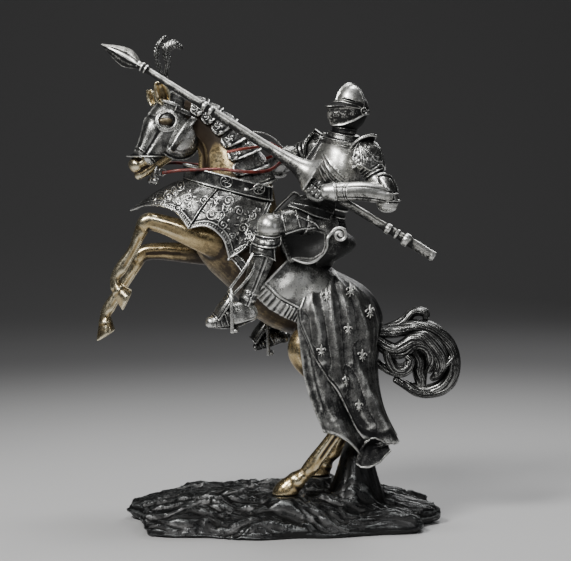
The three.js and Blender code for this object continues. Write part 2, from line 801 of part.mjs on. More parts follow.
function geometryOf(manifold) {
  const { numProp, vertProperties, triVerts } = manifold.getMesh();
  const flat = new Float32Array((vertProperties.length / numProp) * 3);
  for (let i = 0; i < flat.length / 3; i++)
    for (let k = 0; k < 3; k++) flat[3 * i + k] = vertProperties[numProp * i + k];
  const geometry = new THREE.BufferGeometry().setAttribute("position", new THREE.BufferAttribute(flat, 3));
  geometry.setIndex(new THREE.BufferAttribute(triVerts, 1));
  geometry.computeVertexNormals();
  return geometry;
}

function piece(name, geometry, material) {
  const mesh = new THREE.Mesh(geometry, material);
  mesh.name = name;
  return mesh;
}

function castGroup() {
  const flapY = 29;
  const whole = join([
    barrel(),
    neck(),
    ...horseHead(),
    ...crest(),
    plate(breastSurface, 24, 3, PLATE),
    limb(NEAR_FORE, 8, 11),
    limb(NEAR_FORE_HOOF, 8, 4),
    limb(FAR_FORE, 8, 11),
    limb(FAR_FORE_HOOF, 8, 4),
    limb(NEAR_HIND, 8, 11),
    limb(NEAR_HIND_HOOF, 8, 6),
    limb(FAR_HIND, 8, 11),
    limb(FAR_HIND_HOOF, 8, 6),
    ...TAIL_LOCKS.map((lock) => limb(lock, 6, lock.length + 2)),
    plate(rearCloth, 18, 5, CLOTH),
    ball([22, 0, 192], [22, 22, 16]),
    plate(cantle, 10, 2, PLATE),
    plate(pommel, 8, 1, PLATE),
    limb(saddleFlap(-flapY), 8, 5),
    limb(saddleFlap(flapY), 8, 5),
    limb(volute(-26), 4, 8),
    limb(volute(26), 4, 8),
    ...knight(),
  ]);
  let cut = whole;
  for (const [x, y, rise, reach] of HOOF_PADS) {
    const under = new THREE.BoxGeometry(2 * reach * share, 2 * reach * share, BASE_GROUND);
    under.translate(x * share, y * share, 0.5 * BASE_GROUND + rise * share + GAP);
    cut = cut.subtract(solid(under));
  }
  const boreRadius = (LANCE_GRIP_RADIUS + GAP) / Math.cos(Math.PI / 8);
  const bore = new THREE.CylinderGeometry(boreRadius, boreRadius, REAR_LENGTH, 8);
  cut = cut.subtract(solid(laid(bore.translate(0, 0.5 * REAR_LENGTH, 0), LANCE_REAR, LANCE_BUTT)));
  for (const points of Object.values(REINS)) cut = cut.subtract(solid(rein(points, GAP)));
  return geometryOf(cut);
}

const statuette = new THREE.Group();
statuette.add(piece("rock_base", geometryOf(rockBase()), rock));
statuette.add(piece("knight_and_horse", castGroup(), silver));
statuette.add(piece("lance", lance(), steel));
for (const [name, points] of Object.entries(REINS)) statuette.add(piece(name, rein(points, 0), red));

export default statuette;
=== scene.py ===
"""Looks of a cast desk statuette: a knight in plate armour on a rearing, armoured horse.

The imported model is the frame. Every form here is laid out in figure millimetres, the ones that the
casting was drawn in: +Z up from the near hoof's sole, the horse facing -X and the near side at -Y.
They become metres of the frame when a mesh is made.
"""
import logging
import math
from dataclasses import dataclass
from enum import Enum
from typing import Callable, Iterable, Optional, Sequence

import bpy
import numpy as np
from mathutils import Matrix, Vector
from mathutils.kdtree import KDTree


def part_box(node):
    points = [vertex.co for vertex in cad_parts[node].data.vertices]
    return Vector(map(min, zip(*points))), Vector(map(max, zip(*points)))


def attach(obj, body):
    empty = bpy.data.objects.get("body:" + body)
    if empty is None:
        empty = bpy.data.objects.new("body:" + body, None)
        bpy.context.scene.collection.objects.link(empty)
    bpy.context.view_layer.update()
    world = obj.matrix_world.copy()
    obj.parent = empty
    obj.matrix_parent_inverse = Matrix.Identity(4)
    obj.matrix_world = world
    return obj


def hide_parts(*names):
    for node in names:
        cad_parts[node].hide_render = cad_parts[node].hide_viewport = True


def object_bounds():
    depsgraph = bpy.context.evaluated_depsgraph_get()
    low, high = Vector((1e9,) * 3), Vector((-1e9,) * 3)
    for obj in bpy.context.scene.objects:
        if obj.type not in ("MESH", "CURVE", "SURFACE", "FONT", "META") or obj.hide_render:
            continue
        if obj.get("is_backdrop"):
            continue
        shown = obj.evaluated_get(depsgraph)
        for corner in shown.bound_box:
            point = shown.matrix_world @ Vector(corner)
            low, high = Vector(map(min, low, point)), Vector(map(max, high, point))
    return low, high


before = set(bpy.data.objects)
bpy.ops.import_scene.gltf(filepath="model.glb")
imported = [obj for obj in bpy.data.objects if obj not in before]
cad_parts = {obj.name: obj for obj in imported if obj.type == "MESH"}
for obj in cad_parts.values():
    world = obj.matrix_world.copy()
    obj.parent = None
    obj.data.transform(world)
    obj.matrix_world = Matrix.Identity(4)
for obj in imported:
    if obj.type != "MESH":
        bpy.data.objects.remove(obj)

LOG = logging.getLogger("statuette")
CAD_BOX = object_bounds()

Array = np.ndarray
Stations = Sequence[Sequence[float]]
Surface = Callable[[Array, Array], Array]
Relief = Callable[[Array, Array], Array]

Piece = bpy.types.Object
Tree = bpy.types.NodeTree
Socket = bpy.types.NodeSocket

MM = 0.001
CASTING = "knight_and_horse"
DRAWN_HEIGHT = 364.6  # height of the casting in figure millimetres, soles to crest
SOLE_GAP = 0.35  # the casting stands this far off the rock
CAST_LOW, CAST_HIGH = (np.array(corner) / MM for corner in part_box(CASTING))
SHARE = (CAST_HIGH[2] - CAST_LOW[2]) / DRAWN_HEIGHT
DENSE = 30_000  # triangles; a piece with more is thinned once its relief is carved
THINNED = 0.42  # the share of its triangles that such a piece keeps
GROUND = CAST_LOW[2] - SOLE_GAP


class Slot(Enum):
    """The record's material slots."""

    SILVER = "silver"
    GOLD = "gold"
    ROCK = "rock"
    STEEL = "steel"
    RED_STRAP = "red_strap"


# Lines and surfaces


def unit(vectors: Array) -> Array:
    """Scales rows to length one."""
    return vectors / np.maximum(np.linalg.norm(vectors, axis=-1, keepdims=True), 1e-12)


def smooth_step(value: Array, low: float, high: float) -> Array:
    """Rises from 0 to 1 between two limits, level at both."""
    t = np.clip((value - low) / (high - low), 0.0, 1.0)
    return t * t * (3.0 - 2.0 * t)


def bump(value: Array, centre: float, width: float) -> Array:
    """A smooth hump, 1 at its centre.

    Args:
        value: where to read it.
        centre: the place of the top.
        width: the distance at which it has fallen to about a third.

    Returns:
        The height of the hump at each value.
    """
    return np.exp(-(((value - centre) / width) ** 2))


def hermite(p0: Array, p1: Array, p2: Array, p3: Array, f: Array) -> Array:
    """Goes smoothly from p1 to p2 by the share f, between their neighbours p0 and p3."""
    m1, m2 = 0.5 * (p2 - p0), 0.5 * (p3 - p1)
    return p1 + f * m1 + f * f * (3 * (p2 - p1) - 2 * m1 - m2) + f**3 * (2 * (p1 - p2) + m1 + m2)


def smooth_line(rows: Stations, share: Array) -> Array:
    """Reads a smooth line through rows of numbers.

    Args:
        rows: the points, with any further numbers that vary along the line.
        share: places along it, from 0 to 1, by number of points.

    Returns:
        One row for each share.
    """
    points = np.asarray(rows, float)
    padded = np.vstack([2 * points[0] - points[1], points, 2 * points[-1] - points[-2]])
    place = np.clip(np.asarray(share, float), 0.0, 1.0) * (len(points) - 1)
    first = np.minimum(place.astype(int), len(points) - 2)
    f = (place - first)[..., None]
    p0, p1, p2, p3 = (padded[first + k] for k in range(4))
    return hermite(p0, p1, p2, p3, f)


def surface_normal(surface: Surface, u: Array, v: Array) -> Array:
    """Unit normals of a surface, by small steps.

    Args:
        surface: the surface.
        u: share across it.
        v: share down it.

    Returns:
        One normal for each place.
    """
    step = 1e-3
    along_u = surface(u + step, v) - surface(u - step, v)
    along_v = surface(u, v + step) - surface(u, v - step)
    return unit(np.cross(along_u, along_v))


@dataclass(frozen=True)
class Limb:
    """A rounded form drawn along stations [x, y, z, depth, width] in figure millimetres."""

    stations: Stations
    across: tuple[float, float, float] = (0.0, 1.0, 0.0)

    def read(self, share: Array) -> tuple[Array, ...]:
        """Reads the line.

        Args:
            share: places along the line, from 0 to 1.

        Returns:
            The point, tangent, widthwise and depthwise directions, depth and width there.
        """
        step = 1e-3
        rows = smooth_line(self.stations, share)
        ahead = smooth_line(self.stations, np.asarray(share) + step)[..., :3]
        behind = smooth_line(self.stations, np.asarray(share) - step)[..., :3]
        tangent = unit(ahead - behind)
        side = np.array(self.across, float)
        wide = unit(side - tangent * (tangent @ side)[..., None])
        return rows[..., :3], tangent, wide, np.cross(wide, tangent), rows[..., 3], rows[..., 4]

    def surface(self, share: Array, turn: Array, proud: Array | float = 0.0) -> Array:
        """Points on the limb's skin, at a turn from its widthwise direction.

        Args:
            share: places along it, from 0 to 1.
            turn: angle round it.
            proud: how far outside the skin.

        Returns:
            The points.
        """
        point, _, wide, deep, depth, width = self.read(share)
        cos = ((width + proud) * np.cos(turn))[..., None]
        sin = ((depth + proud) * np.sin(turn))[..., None]
        return point + wide * cos + deep * sin

    def model(
        self,
        sides: int = 24,
        rings: int = 32,
        relief: Optional[Relief] = None,
        cap: float = 0.08,
        bulge: float = 0.7,
        power: float = 2.0,
        drawn: Sequence["Ridges"] = (),
    ) -> Piece:
        """Models the limb from a sphere.

        Args:
            sides: faces round it.
            rings: faces along it.
            relief: what stands proud at a share and a turn, in millimetres.
            cap: the part of the rings at each end that rounds it off.
            bulge: how far an end stands out, as a share of its depth.
            power: 2 for a round section, 1 for a diamond, 4 for nearly a rectangle.
            drawn: ridges that lie on the limb.

        Returns:
            The new object.
        """
        deselect()
        bpy.ops.mesh.primitive_uv_sphere_add(segments=sides, ring_count=rings, radius=1.0)
        piece = bpy.context.active_object
        ball = coordinates(piece)
        polar = np.arccos(np.clip(-ball[:, 2], -1.0, 1.0)) / math.pi
        turn = np.arctan2(ball[:, 1], ball[:, 0])
        share = np.clip((polar - cap) / (1.0 - 2.0 * cap), 0.0, 1.0)
        into = np.clip(np.minimum(polar, 1.0 - polar) / cap, 0.0, 1.0) * 0.5 * math.pi
        point, tangent, wide, deep, depth, width = self.read(share)
        proud = relief(share, turn) if relief else np.zeros_like(share)
        ahead = np.where(polar > 0.5, 1.0, -1.0) * bulge * depth * np.cos(into)
        square = (np.abs(np.cos(turn)) ** power + np.abs(np.sin(turn)) ** power) ** (-1.0 / power)
        radius = np.sin(into) * square
        out = wide * np.cos(turn)[:, None] + deep * np.sin(turn)[:, None]
        plain = point + out * (0.5 * (depth + width) * radius)[:, None]
        for ridges in drawn:
            proud = proud + ridges.heights(plain, out)
        place = point + tangent * ahead[:, None]
        place += wide * (radius * (width + proud) * np.cos(turn))[:, None]
        place += deep * (radius * (depth + proud) * np.sin(turn))[:, None]
        put(piece, place)
        outward(piece)
        return piece


# Modelling


def deselect() -> None:
    """Leaves nothing selected."""
    bpy.ops.object.select_all(action="DESELECT")


def coordinates(piece: Piece) -> Array:
    """A mesh's vertices, one row each.

    Args:
        piece: the piece.

    Returns:
        The points.
    """
    flat = np.empty(3 * len(piece.data.vertices))
    piece.data.vertices.foreach_get("co", flat)
    return flat.reshape(-1, 3)


def put(piece: Piece, places: Array) -> None:
    """Moves a mesh's vertices to places in figure millimetres.

    Args:
        piece: the piece.
        places: places in figure millimetres.
    """
    scaled = np.asarray(places) * SHARE
    scaled[:, 2] += GROUND
    piece.data.vertices.foreach_set("co", (scaled * MM).ravel())
    piece.data.update()


def figure_places(piece: Piece) -> Array:
    """A mesh's vertices in figure millimetres.

    Args:
        piece: the piece.

    Returns:
        The points.
    """
    places = coordinates(piece) / MM
    places[:, 2] -= GROUND
    return places / SHARE


def choose(*pieces: Piece) -> None:
    """Selects pieces and makes the first one active.

    Args:
        pieces: the pieces.
    """
    deselect()
    for piece in pieces:
        piece.select_set(True)
    bpy.context.view_layer.objects.active = pieces[0]


def edited(piece: Piece, operator: Callable[..., object], **options: object) -> None:
    """Runs a mesh operator on the whole of a piece in edit mode.

    Args:
        piece: the piece.
        operator: the operator.
        options: its own options.
    """
    choose(piece)
    bpy.ops.object.mode_set(mode="EDIT")
    bpy.ops.mesh.select_all(action="SELECT")
    operator(**options)
    bpy.ops.object.mode_set(mode="OBJECT")


def outward(piece: Piece) -> None:
    """Turns a closed mesh's faces outwards."""
    edited(piece, bpy.ops.mesh.normals_make_consistent, inside=False)


def modify(piece: Piece, kind: str, **settings: object) -> None:
    """Adds a modifier to a piece and applies it.

    Args:
        piece: the piece.
        kind: its kind.
        settings: its settings.
    """
    choose(piece)
    modifier = piece.modifiers.new(kind.title(), kind)
    for name, value in settings.items():
        setattr(modifier, name, value)
    bpy.ops.object.modifier_apply(modifier=modifier.name)


def triangles(piece: Piece) -> int:
    """Counts a mesh's triangles."""
    return sum(len(face.vertices) - 2 for face in piece.data.polygons)


def joined(pieces: Sequence[Piece]) -> Piece:
    """Makes one object of several.

    Args:
        pieces: the pieces.

    Returns:
        The new object.
    """
    choose(*pieces)
    if len(pieces) > 1:
        bpy.ops.object.join()
    return pieces[0]


def fused(pieces: Sequence[Piece], voxel: float, smoothing: int) -> Piece:
    """Melts closed forms into one skin.

    Args:
        pieces: the forms.
        voxel: the size of the new faces, in millimetres.
        smoothing: rounds of smoothing after it.

    Returns:
        The one object.
    """
    whole = joined(pieces)
    modify(whole, "REMESH", mode="VOXEL", voxel_size=voxel * MM, use_smooth_shade=True)
    if smoothing:
        modify(whole, "SMOOTH", factor=0.5, iterations=smoothing)
    return whole


def sheet(
    surface: Surface,
    across: int,
    along: int,
    thickness: float,
    relief: Optional[Relief] = None,
    drawn: Sequence["Ridges"] = (),
) -> Piece:
    """Models a bent plate or cloth from a flat grid.

    Args:
        surface: the middle of the sheet, read by shares u and v.
        across: faces along u.
        along: faces along v.
        thickness: of the sheet, in millimetres.
        relief: what stands proud of its outer face at u and v, in millimetres.
        drawn: ridges that lie on the sheet.

    Returns:
        The new object, with its outer face outwards.
    """
    deselect()
    bpy.ops.mesh.primitive_grid_add(x_subdivisions=across, y_subdivisions=along, size=1.0)
    piece = bpy.context.active_object
    flat = coordinates(piece)
    u = flat[:, 0] + 0.5
    v = flat[:, 1] + 0.5
    places = surface(u, v)
    normals = surface_normal(surface, u, v)
    flipped = np.mean(np.sum(normals * (places - places.mean(axis=0)), axis=1)) < 0
    if flipped:
        normals = -normals
    proud = np.full(len(u), 0.5 * thickness)
    if relief:
        proud = proud + relief(u, v)
    for ridges in drawn:
        proud = proud + ridges.heights(places, normals)
    put(piece, places + normals * proud[:, None])
    if flipped:
        edited(piece, bpy.ops.mesh.flip_normals)
    modify(piece, "SOLIDIFY", thickness=thickness * MM * SHARE, offset=-1.0)
    return piece


def ball(centre: Sequence[float], radii: Sequence[float], turn: float = 0.0, sides: int = 24) -> Piece:
    """Models a ball with three radii, turned about the vertical.

    Args:
        centre: its middle.
        radii: its three radii.
        turn: its turn about the vertical.
        sides: faces round it.

    Returns:
        The new object.
    """
    deselect()
    bpy.ops.mesh.primitive_uv_sphere_add(segments=sides, ring_count=max(8, sides // 2), radius=1.0)
    piece = bpy.context.active_object
    shape = coordinates(piece) * np.array(radii)
    c, s = math.cos(turn), math.sin(turn)
    shape = shape @ np.array([[c, s, 0.0], [-s, c, 0.0], [0.0, 0.0, 1.0]])
    put(piece, shape + np.array(centre))
    return piece


def tube(points: Stations, radius: float | Sequence[float], sides: int = 10, rings: int = 0) -> Piece:
    """Models a round bar along points, with one radius or a radius for each point.

    Args:
        points: its points.
        radius: one radius, or one for each point.
        sides: faces round it.
        rings: faces along it.

    Returns:
        The new object.
    """
    radii = np.broadcast_to(np.asarray(radius, float), (len(points),))
    stations = [[*point, r, r] for point, r in zip(points, radii)]
    along = np.asarray(points[-1], float) - np.asarray(points[0], float)
    across = (0.0, 0.0, 1.0) if abs(along[1]) > 0.8 * np.linalg.norm(along) else (0.0, 1.0, 0.0)
    return Limb(stations, across).model(sides, rings or 4 * len(points), cap=0.06)


def ring_bar(
    centre: Sequence[float], normal: Sequence[float], radius: float, thick: float, stretch: float = 1.0
) -> Piece:
    """Models a ring of round bar.

    Args:
        centre: its middle.
        normal: the direction through it.
        radius: from the middle to the bar's middle.
        thick: radius of the bar.
        stretch: how much longer it is along its first axis.

    Returns:
        The new object.
    """
    deselect()
    bpy.ops.mesh.primitive_torus_add(
        major_segments=40, minor_segments=10, major_radius=radius, minor_radius=thick
    )
    piece = bpy.context.active_object
    turn = Vector((0, 0, 1)).rotation_difference(Vector(normal)).to_matrix()
    shape = coordinates(piece) * np.array([stretch, 1.0, 1.0])
    put(piece, shape @ np.array(turn).T + np.array(centre))
    return piece


def weathered_and_shaded(piece: Piece, painted_shade_and_stain: Array | float = 0.0, under: Sequence[float] = (0.4, 0.15)) -> None:
    """Writes what the paint reads at each vertex.

    Args:
        piece: the piece, whose "relief" becomes 1 on an edge and -1 in a groove.
        painted_shade_and_stain: how dark the wash and the painted shade lie on each vertex, and below nought
            a painted highlight; undersides get more painted shade on top.
        under: how much painted shade the undersides get, and how far up the sides that starts.
    """
    mesh = piece.data
    count = len(mesh.vertices)
    pairs = np.empty(2 * len(mesh.edges), np.int64)
    mesh.edges.foreach_get("vertices", pairs)
    first, second = pairs.reshape(-1, 2).T
    degree = np.maximum(np.bincount(pairs, minlength=count), 1)[:, None]
    normals = np.empty(3 * count)
    mesh.vertex_normals.foreach_get("vector", normals)
    normals = normals.reshape(-1, 3)
    places = coordinates(piece) / MM
    edge = float(np.mean(np.linalg.norm(places[first] - places[second], axis=1)))
    level = places
    relief = np.zeros(count)
    rounds = 0
    for reach, depth, weight in ((0.7, 0.06, 0.45), (1.5, 0.18, 0.35), (3.2, 0.8, 0.3)):
        coarse = max(1.0, (edge / reach) ** 2)
        until = min(60, max(1, round((reach / edge) ** 2)))
        while rounds < until:
            total = np.column_stack(
                [
                    np.bincount(first, level[second, k], count) + np.bincount(second, level[first, k], count)
                    for k in range(3)
                ]
            )
            level = total / degree
            rounds += 1
        relief += weight * np.tanh(np.sum((places - level) * normals, axis=1) / (depth * coarse))
    mesh.attributes.new("relief", "FLOAT", "POINT").data.foreach_set("value", relief)
    # Undersides get painted shade: the more a face looks down, the darker.
    below = under[0] * smooth_step(-normals[:, 2], -under[1], 0.7)
    mesh.attributes.new("painted_shade_and_stain", "FLOAT", "POINT").data.foreach_set("value", painted_shade_and_stain + below)


# Relief


class Ridges:
    """Ridges that are raised on a surface along paths."""

    def __init__(self, seen: bool = False, soft: bool = False) -> None:
        """Starts with no ridge.

        Args:
            seen: whether the paths are [x, z] as seen from a side, and fall on both sides.
            soft: whether a ridge is the soft back of a fold, not a round bead.
        """
        self.seen = seen
        self.soft = soft
        self.rows: list[Array] = []
        self.tree: Optional[KDTree] = None

    def add(self, path: Stations, width: Array | float, height: Array | float) -> "Ridges":
        """Adds a path.

        Args:
            path: its points on the surface, in figure millimetres.
            width: half the width of the ridge at each point.
            height: how high it stands at each point; below nought it is a groove.

        Returns:
            These ridges, so that calls can be chained.
        """
        points = np.asarray(path, float)
        if self.seen:
            points = smooth_line(points, np.linspace(0.0, 1.0, 8 * len(points)))
            points = np.column_stack([points[:, 0], np.zeros(len(points)), points[:, 1]])
        count = len(points)
        shares = np.linspace(0.0, 1.0, count)
        wide, high = (
            np.interp(shares, np.linspace(0.0, 1.0, len(row)), row)
            for row in (np.atleast_1d(np.asarray(width, float)), np.atleast_1d(np.asarray(height, float)))
        )
        length = np.concatenate([[0.0], np.cumsum(np.linalg.norm(np.diff(points, axis=0), axis=1))])
        even = np.linspace(0.0, length[-1], max(2, int(length[-1] / 0.25)))
        rows = np.column_stack([points, wide, high])
        self.rows.append(np.column_stack([np.interp(even, length, rows[:, k]) for k in range(5)]))
        self.tree = None
        return self

    def heights(self, places: Array, out: Array) -> Array:
        """How high the ridges stand at each place, where the surface looks outward along out.

        Args:
            places: places in figure millimetres.
            out: the way the surface looks there.

        Returns:
            The height at each place, in millimetres.
        """
        if not self.rows:
            return np.zeros(len(places))
        rows = np.vstack(self.rows)
        if self.tree is None:
            self.tree = KDTree(len(rows))
            for i, row in enumerate(rows):
                self.tree.insert(row[:3], i)
            self.tree.balance()
        facing = smooth_step(np.abs(out[:, 1]), 0.05, 0.4) if self.seen else np.ones(len(places))
        found = [self.tree.find((x, 0.0 if self.seen else y, z))[1:] for x, y, z in places]
        nearest, distance = np.array(found).T
        wide, high = rows[nearest.astype(int), 3:].T
        part = distance / wide
        if self.soft:
            return facing * high / (1.0 + (2.2 * part) ** 2)
        bead = np.sqrt(np.clip(1.0 - part**2, 0.0, 1.0))
        trough = -0.35 * np.sin(math.pi * np.clip((part - 0.9) / 0.7, 0.0, 1.0))
        return facing * high * (bead + trough)


@dataclass(frozen=True)
class Ground:
    """A small flat drawing board laid on a surface round one point."""

    surface: Surface
    u: float
    v: float
    turn: float = 0.0

    def lay(self, drawing: Array) -> Array:
        """Lays drawn points, in millimetres from the middle, on the surface.

        Args:
            drawing: rows of x and y.

        Returns:
            The points.
        """
        step = 1e-3
        u, v = np.array([self.u]), np.array([self.v])
        along_u = (self.surface(u + step, v) - self.surface(u - step, v))[0] / (2 * step)
        along_v = (self.surface(u, v + step) - self.surface(u, v - step))[0] / (2 * step)
        length_u = np.linalg.norm(along_u)
        across = along_v - along_u * (along_u @ along_v) / length_u**2
        length_v = np.linalg.norm(across)
        slant = (along_u @ along_v) / length_u**2
        c, s = math.cos(self.turn), math.sin(self.turn)
        x = drawing[:, 0] * c - drawing[:, 1] * s
        y = drawing[:, 0] * s + drawing[:, 1] * c
        dv = y / length_v
        du = x / length_u - slant * dv
        return self.surface(self.u + du, self.v + dv)


def nearest_place(surface: Surface, x: float, z: float, side: int = -1) -> tuple[float, float]:
    """Finds the place of a surface that a viewer on one side sees at x and z.

    Args:
        surface: the surface.
        x: along the horse, in figure millimetres.
        z: above the near hoof, in figure millimetres.
        side: -1 for the near side and 1 for the far side.

    Returns:
        The shares u and v.
    """
    u, v = (grid.ravel() for grid in np.meshgrid(np.linspace(0.0, 1.0, 241), np.linspace(0.0, 1.0, 121)))
    places = surface(u, v)
    miss = np.hypot(places[:, 0] - x, places[:, 2] - z) + 1e3 * (side * places[:, 1] < 0)
    best = int(np.argmin(miss))
    return float(u[best]), float(v[best])


def spiral(start: float, end: float, turns: float, begin: float = 0.0, hand: int = 1) -> Array:
    """Draws a spiral.

    Args:
        start: its radius where it begins.
        end: its radius where it ends.
        turns: how many times round.
        begin: the angle where it begins.
        hand: 1 anticlockwise, -1 clockwise.

    Returns:
        Its points, in millimetres.
    """
    share = np.linspace(0.0, 1.0, max(12, int(40 * abs(turns))))
    radius = start + (end - start) * share
    angle = begin + hand * 2 * math.pi * turns * share
    return np.column_stack([radius * np.cos(angle), radius * np.sin(angle)])


def scroll(size: float, hand: int = 1) -> list[Array]:
    """Draws a branching scroll: a main curl, a counter curl and three leaves.

    Args:
        size: its size in millimetres.
        hand: 1 anticlockwise, -1 clockwise.

    Returns:
        The strokes.
    """
    main = spiral(size, 0.12 * size, 1.6, math.pi, hand)
    counter = spiral(0.62 * size, 0.1 * size, 1.3, 0.5 * math.pi, -hand)
    counter += np.array([-1.35 * size, -0.75 * hand * size])
    share = np.linspace(0.0, 1.0, 10)[:, None]
    leaves = []
    for angle in (0.6, 1.9, 3.2):
        root = np.array([math.cos(hand * angle), math.sin(hand * angle)]) * 0.95 * size
        tip = root * 1.6 + np.array([-root[1], root[0]]) * 0.35 * hand
        bow = np.array([-root[1], root[0]]) * 0.25 * hand * share * (1 - share)
        leaves.append(root + (tip - root) * share + bow)
    return [main, counter, *leaves]


def fleur_de_lis(size: float) -> list[tuple[Array, Array]]:
    """Draws a fleur-de-lis of the given height, as strokes with a half-width at each point.

    Args:
        size: its size in millimetres.

    Returns:
        The strokes.
    """
    share = np.linspace(0.0, 1.0, 16)
    middle = np.column_stack([0.0 * share, size * (0.5 - 0.62 * share)])
    strokes = [(middle, size * (0.02 + 0.1 * np.sin(math.pi * share) ** 0.8))]
    for hand in (-1, 1):
        turn = math.pi * (1.3 - 1.35 * share)
        petal = np.column_stack(
            [hand * size * (0.19 + 0.11 * np.cos(turn)), size * (0.04 + 0.14 * np.sin(turn))]
        )
        strokes.append((petal, size * (0.035 + 0.04 * share)))
        foot = np.column_stack([hand * size * 0.19 * share, size * (-0.18 - 0.16 * share**2)])
        strokes.append((foot, size * (0.06 - 0.025 * share)))
    band = np.column_stack([size * 0.2 * (2 * share - 1), np.full_like(share, -0.13 * size)])
    strokes.append((band, np.full_like(share, 0.045 * size)))
    stem = np.column_stack([0.0 * share, size * (-0.12 - 0.36 * share)])
    strokes.append((stem, size * (0.075 - 0.05 * share)))
    return strokes


def lattice_noise(places: Array, cell: float | Sequence[float], seed: int = 0) -> Array:
    """Smooth noise from -1 to 1 that changes over a cell's length, the same on every run.

    Args:
        places: places in figure millimetres.
        cell: length of a cell.
        seed: picks the pattern.

    Returns:
        One value for each place.
    """
    scaled = places / np.asarray(cell, float)
    base = np.floor(scaled).astype(np.int64)
    f = scaled - base
    f = f * f * (3.0 - 2.0 * f)
    total = np.zeros(len(places))
    columns = places.shape[1]
    primes = (73856093, 19349663, 83492791)[:columns]
    for corner in range(2**columns):
        offset = np.array([(corner >> k) & 1 for k in range(columns)])
        index = base + offset
        mixed = np.zeros(len(places), np.int64)
        for k in range(columns):
            mixed ^= index[:, k] * primes[k]
        mixed = (mixed ^ (seed * 2654435761)) & 0x7FFFFFFF
        mixed = (mixed * 1103515245 + 12345) & 0x7FFFFFFF
        mixed = ((mixed >> 13) ^ mixed) * 60493 & 0x7FFFFFFF
        value = mixed / 0x3FFFFFFF - 1.0
        weight = np.prod(np.where(offset == 1, f, 1.0 - f), axis=1)
        total += weight * value
    return total


def layered_noise(places: Array, cell: float | Sequence[float], layers: int = 4, seed: int = 0) -> Array:
    """Noise with finer and weaker layers added."""
    size = np.asarray(cell, float)
    return sum(lattice_noise(places, size / 2**k, seed + k) / 2**k for k in range(layers))


def lapped(share: Array, edges: Sequence[float], rise: float, lip: float = 0.0) -> Array:
    """Plates that lap like tiles: each rises towards its own edge and drops to the next.

    Args:
        share: places along the limb.
        edges: the share at which each plate ends.
        rise: how high its edge stands.
        lip: the height of the bead along its edge.

    Returns:
        What stands proud.
    """
    proud = np.zeros_like(share)
    start = 0.0
    for edge in edges:
        t = (share - start) / (edge - start)
        here = rise * t + lip * bump(t, 0.93, 0.07)
        proud = np.where((share >= start) & (share < edge), here, proud)
        start = edge
    return proud


def hollow(turn: Array, place: float, width: float) -> Array:
    """A hump round a limb at one turn, for a groove or a ridge along it."""
    apart = np.mod(turn - place + math.pi, 2 * math.pi) - math.pi
    return bump(apart, 0.0, width)


@dataclass(frozen=True)
class Dome:
    """A patch of an upright ellipsoid that is turned about the vertical."""

    centre: tuple[float, float, float]
    radii: tuple[float, float, float]
    turn: float = 0.0
    around: tuple[float, float] = (-math.pi, math.pi)
    down: tuple[float, float] = (0.0, math.pi)

    def surface(self, u: Array, v: Array) -> Array:
        """Points at a share round the patch and a share down it.

        Args:
            u: share across it.
            v: share down it.

        Returns:
            The points.
        """
        angle = self.around[0] + (self.around[1] - self.around[0]) * u
        polar = self.down[0] + (self.down[1] - self.down[0]) * v
        x = self.radii[0] * np.sin(polar) * np.cos(angle)
        y = self.radii[1] * np.sin(polar) * np.sin(angle)
        c, s = math.cos(self.turn), math.sin(self.turn)
        local = np.column_stack([x * c - y * s, x * s + y * c, self.radii[2] * np.cos(polar)])
        return local + np.array(self.centre)


def loft(lines: Sequence[Stations]) -> Surface:
    """A surface through lines: u runs along each line and v from the first line to the last.

    Args:
        lines: the lines.

    Returns:
        The surface.
    """

    def surface(u: Array, v: Array) -> Array:
        """Points on the surface.

        Args:
            u: share across it.
            v: share down it.

        Returns:
            The points.
        """
        rows = [smooth_line(line, u) for line in lines]
        last = len(rows) - 1
        rows = np.stack([2 * rows[0] - rows[1], *rows, 2 * rows[-1] - rows[-2]])
        place = np.clip(v, 0, 1) * last
        first = np.minimum(place.astype(int), last - 1)
        f = (place - first)[:, None]
        p0, p1, p2, p3 = (rows[first + k, np.arange(len(first))] for k in range(4))
        return hermite(p0, p1, p2, p3, f)

    return surface


def plate(
    lines: Sequence[Stations],
    size: tuple[float, float],
    relief: Optional[Relief] = None,
    drawn: Sequence["Ridges"] = (),
    rim: float = 0.8,
    thickness: float = 1.3,
) -> Piece:
    """Models an armour plate through lines, with a rolled rim all round.

    Args:
        lines: the lines that it passes through.
        size: its length along u and v in millimetres, for its cells and the width of its rim.
        relief: what else stands proud at u and v.
        drawn: ridges that lie on it.
        rim: the height of its rim.
        thickness: of the plate.

    Returns:
        The new object.
    """
    def proud(u: Array, v: Array) -> Array:
        """The rim and what else is on the plate.

        Args:
            u: share across it.
            v: share down it.

        Returns:
            What stands proud, in millimetres.
        """
        edge = np.minimum(np.minimum(u, 1 - u) * size[0], np.minimum(v, 1 - v) * size[1])
        rolled = rim * (bump(edge, 0.7, 0.55) - 0.5 * bump(edge, 1.9, 0.5))
        return rolled + (relief(u, v) if relief else 0.0)

    cells = [max(6, int(length / 0.5)) for length in size]
    return sheet(loft(lines), *cells, thickness, proud, drawn)


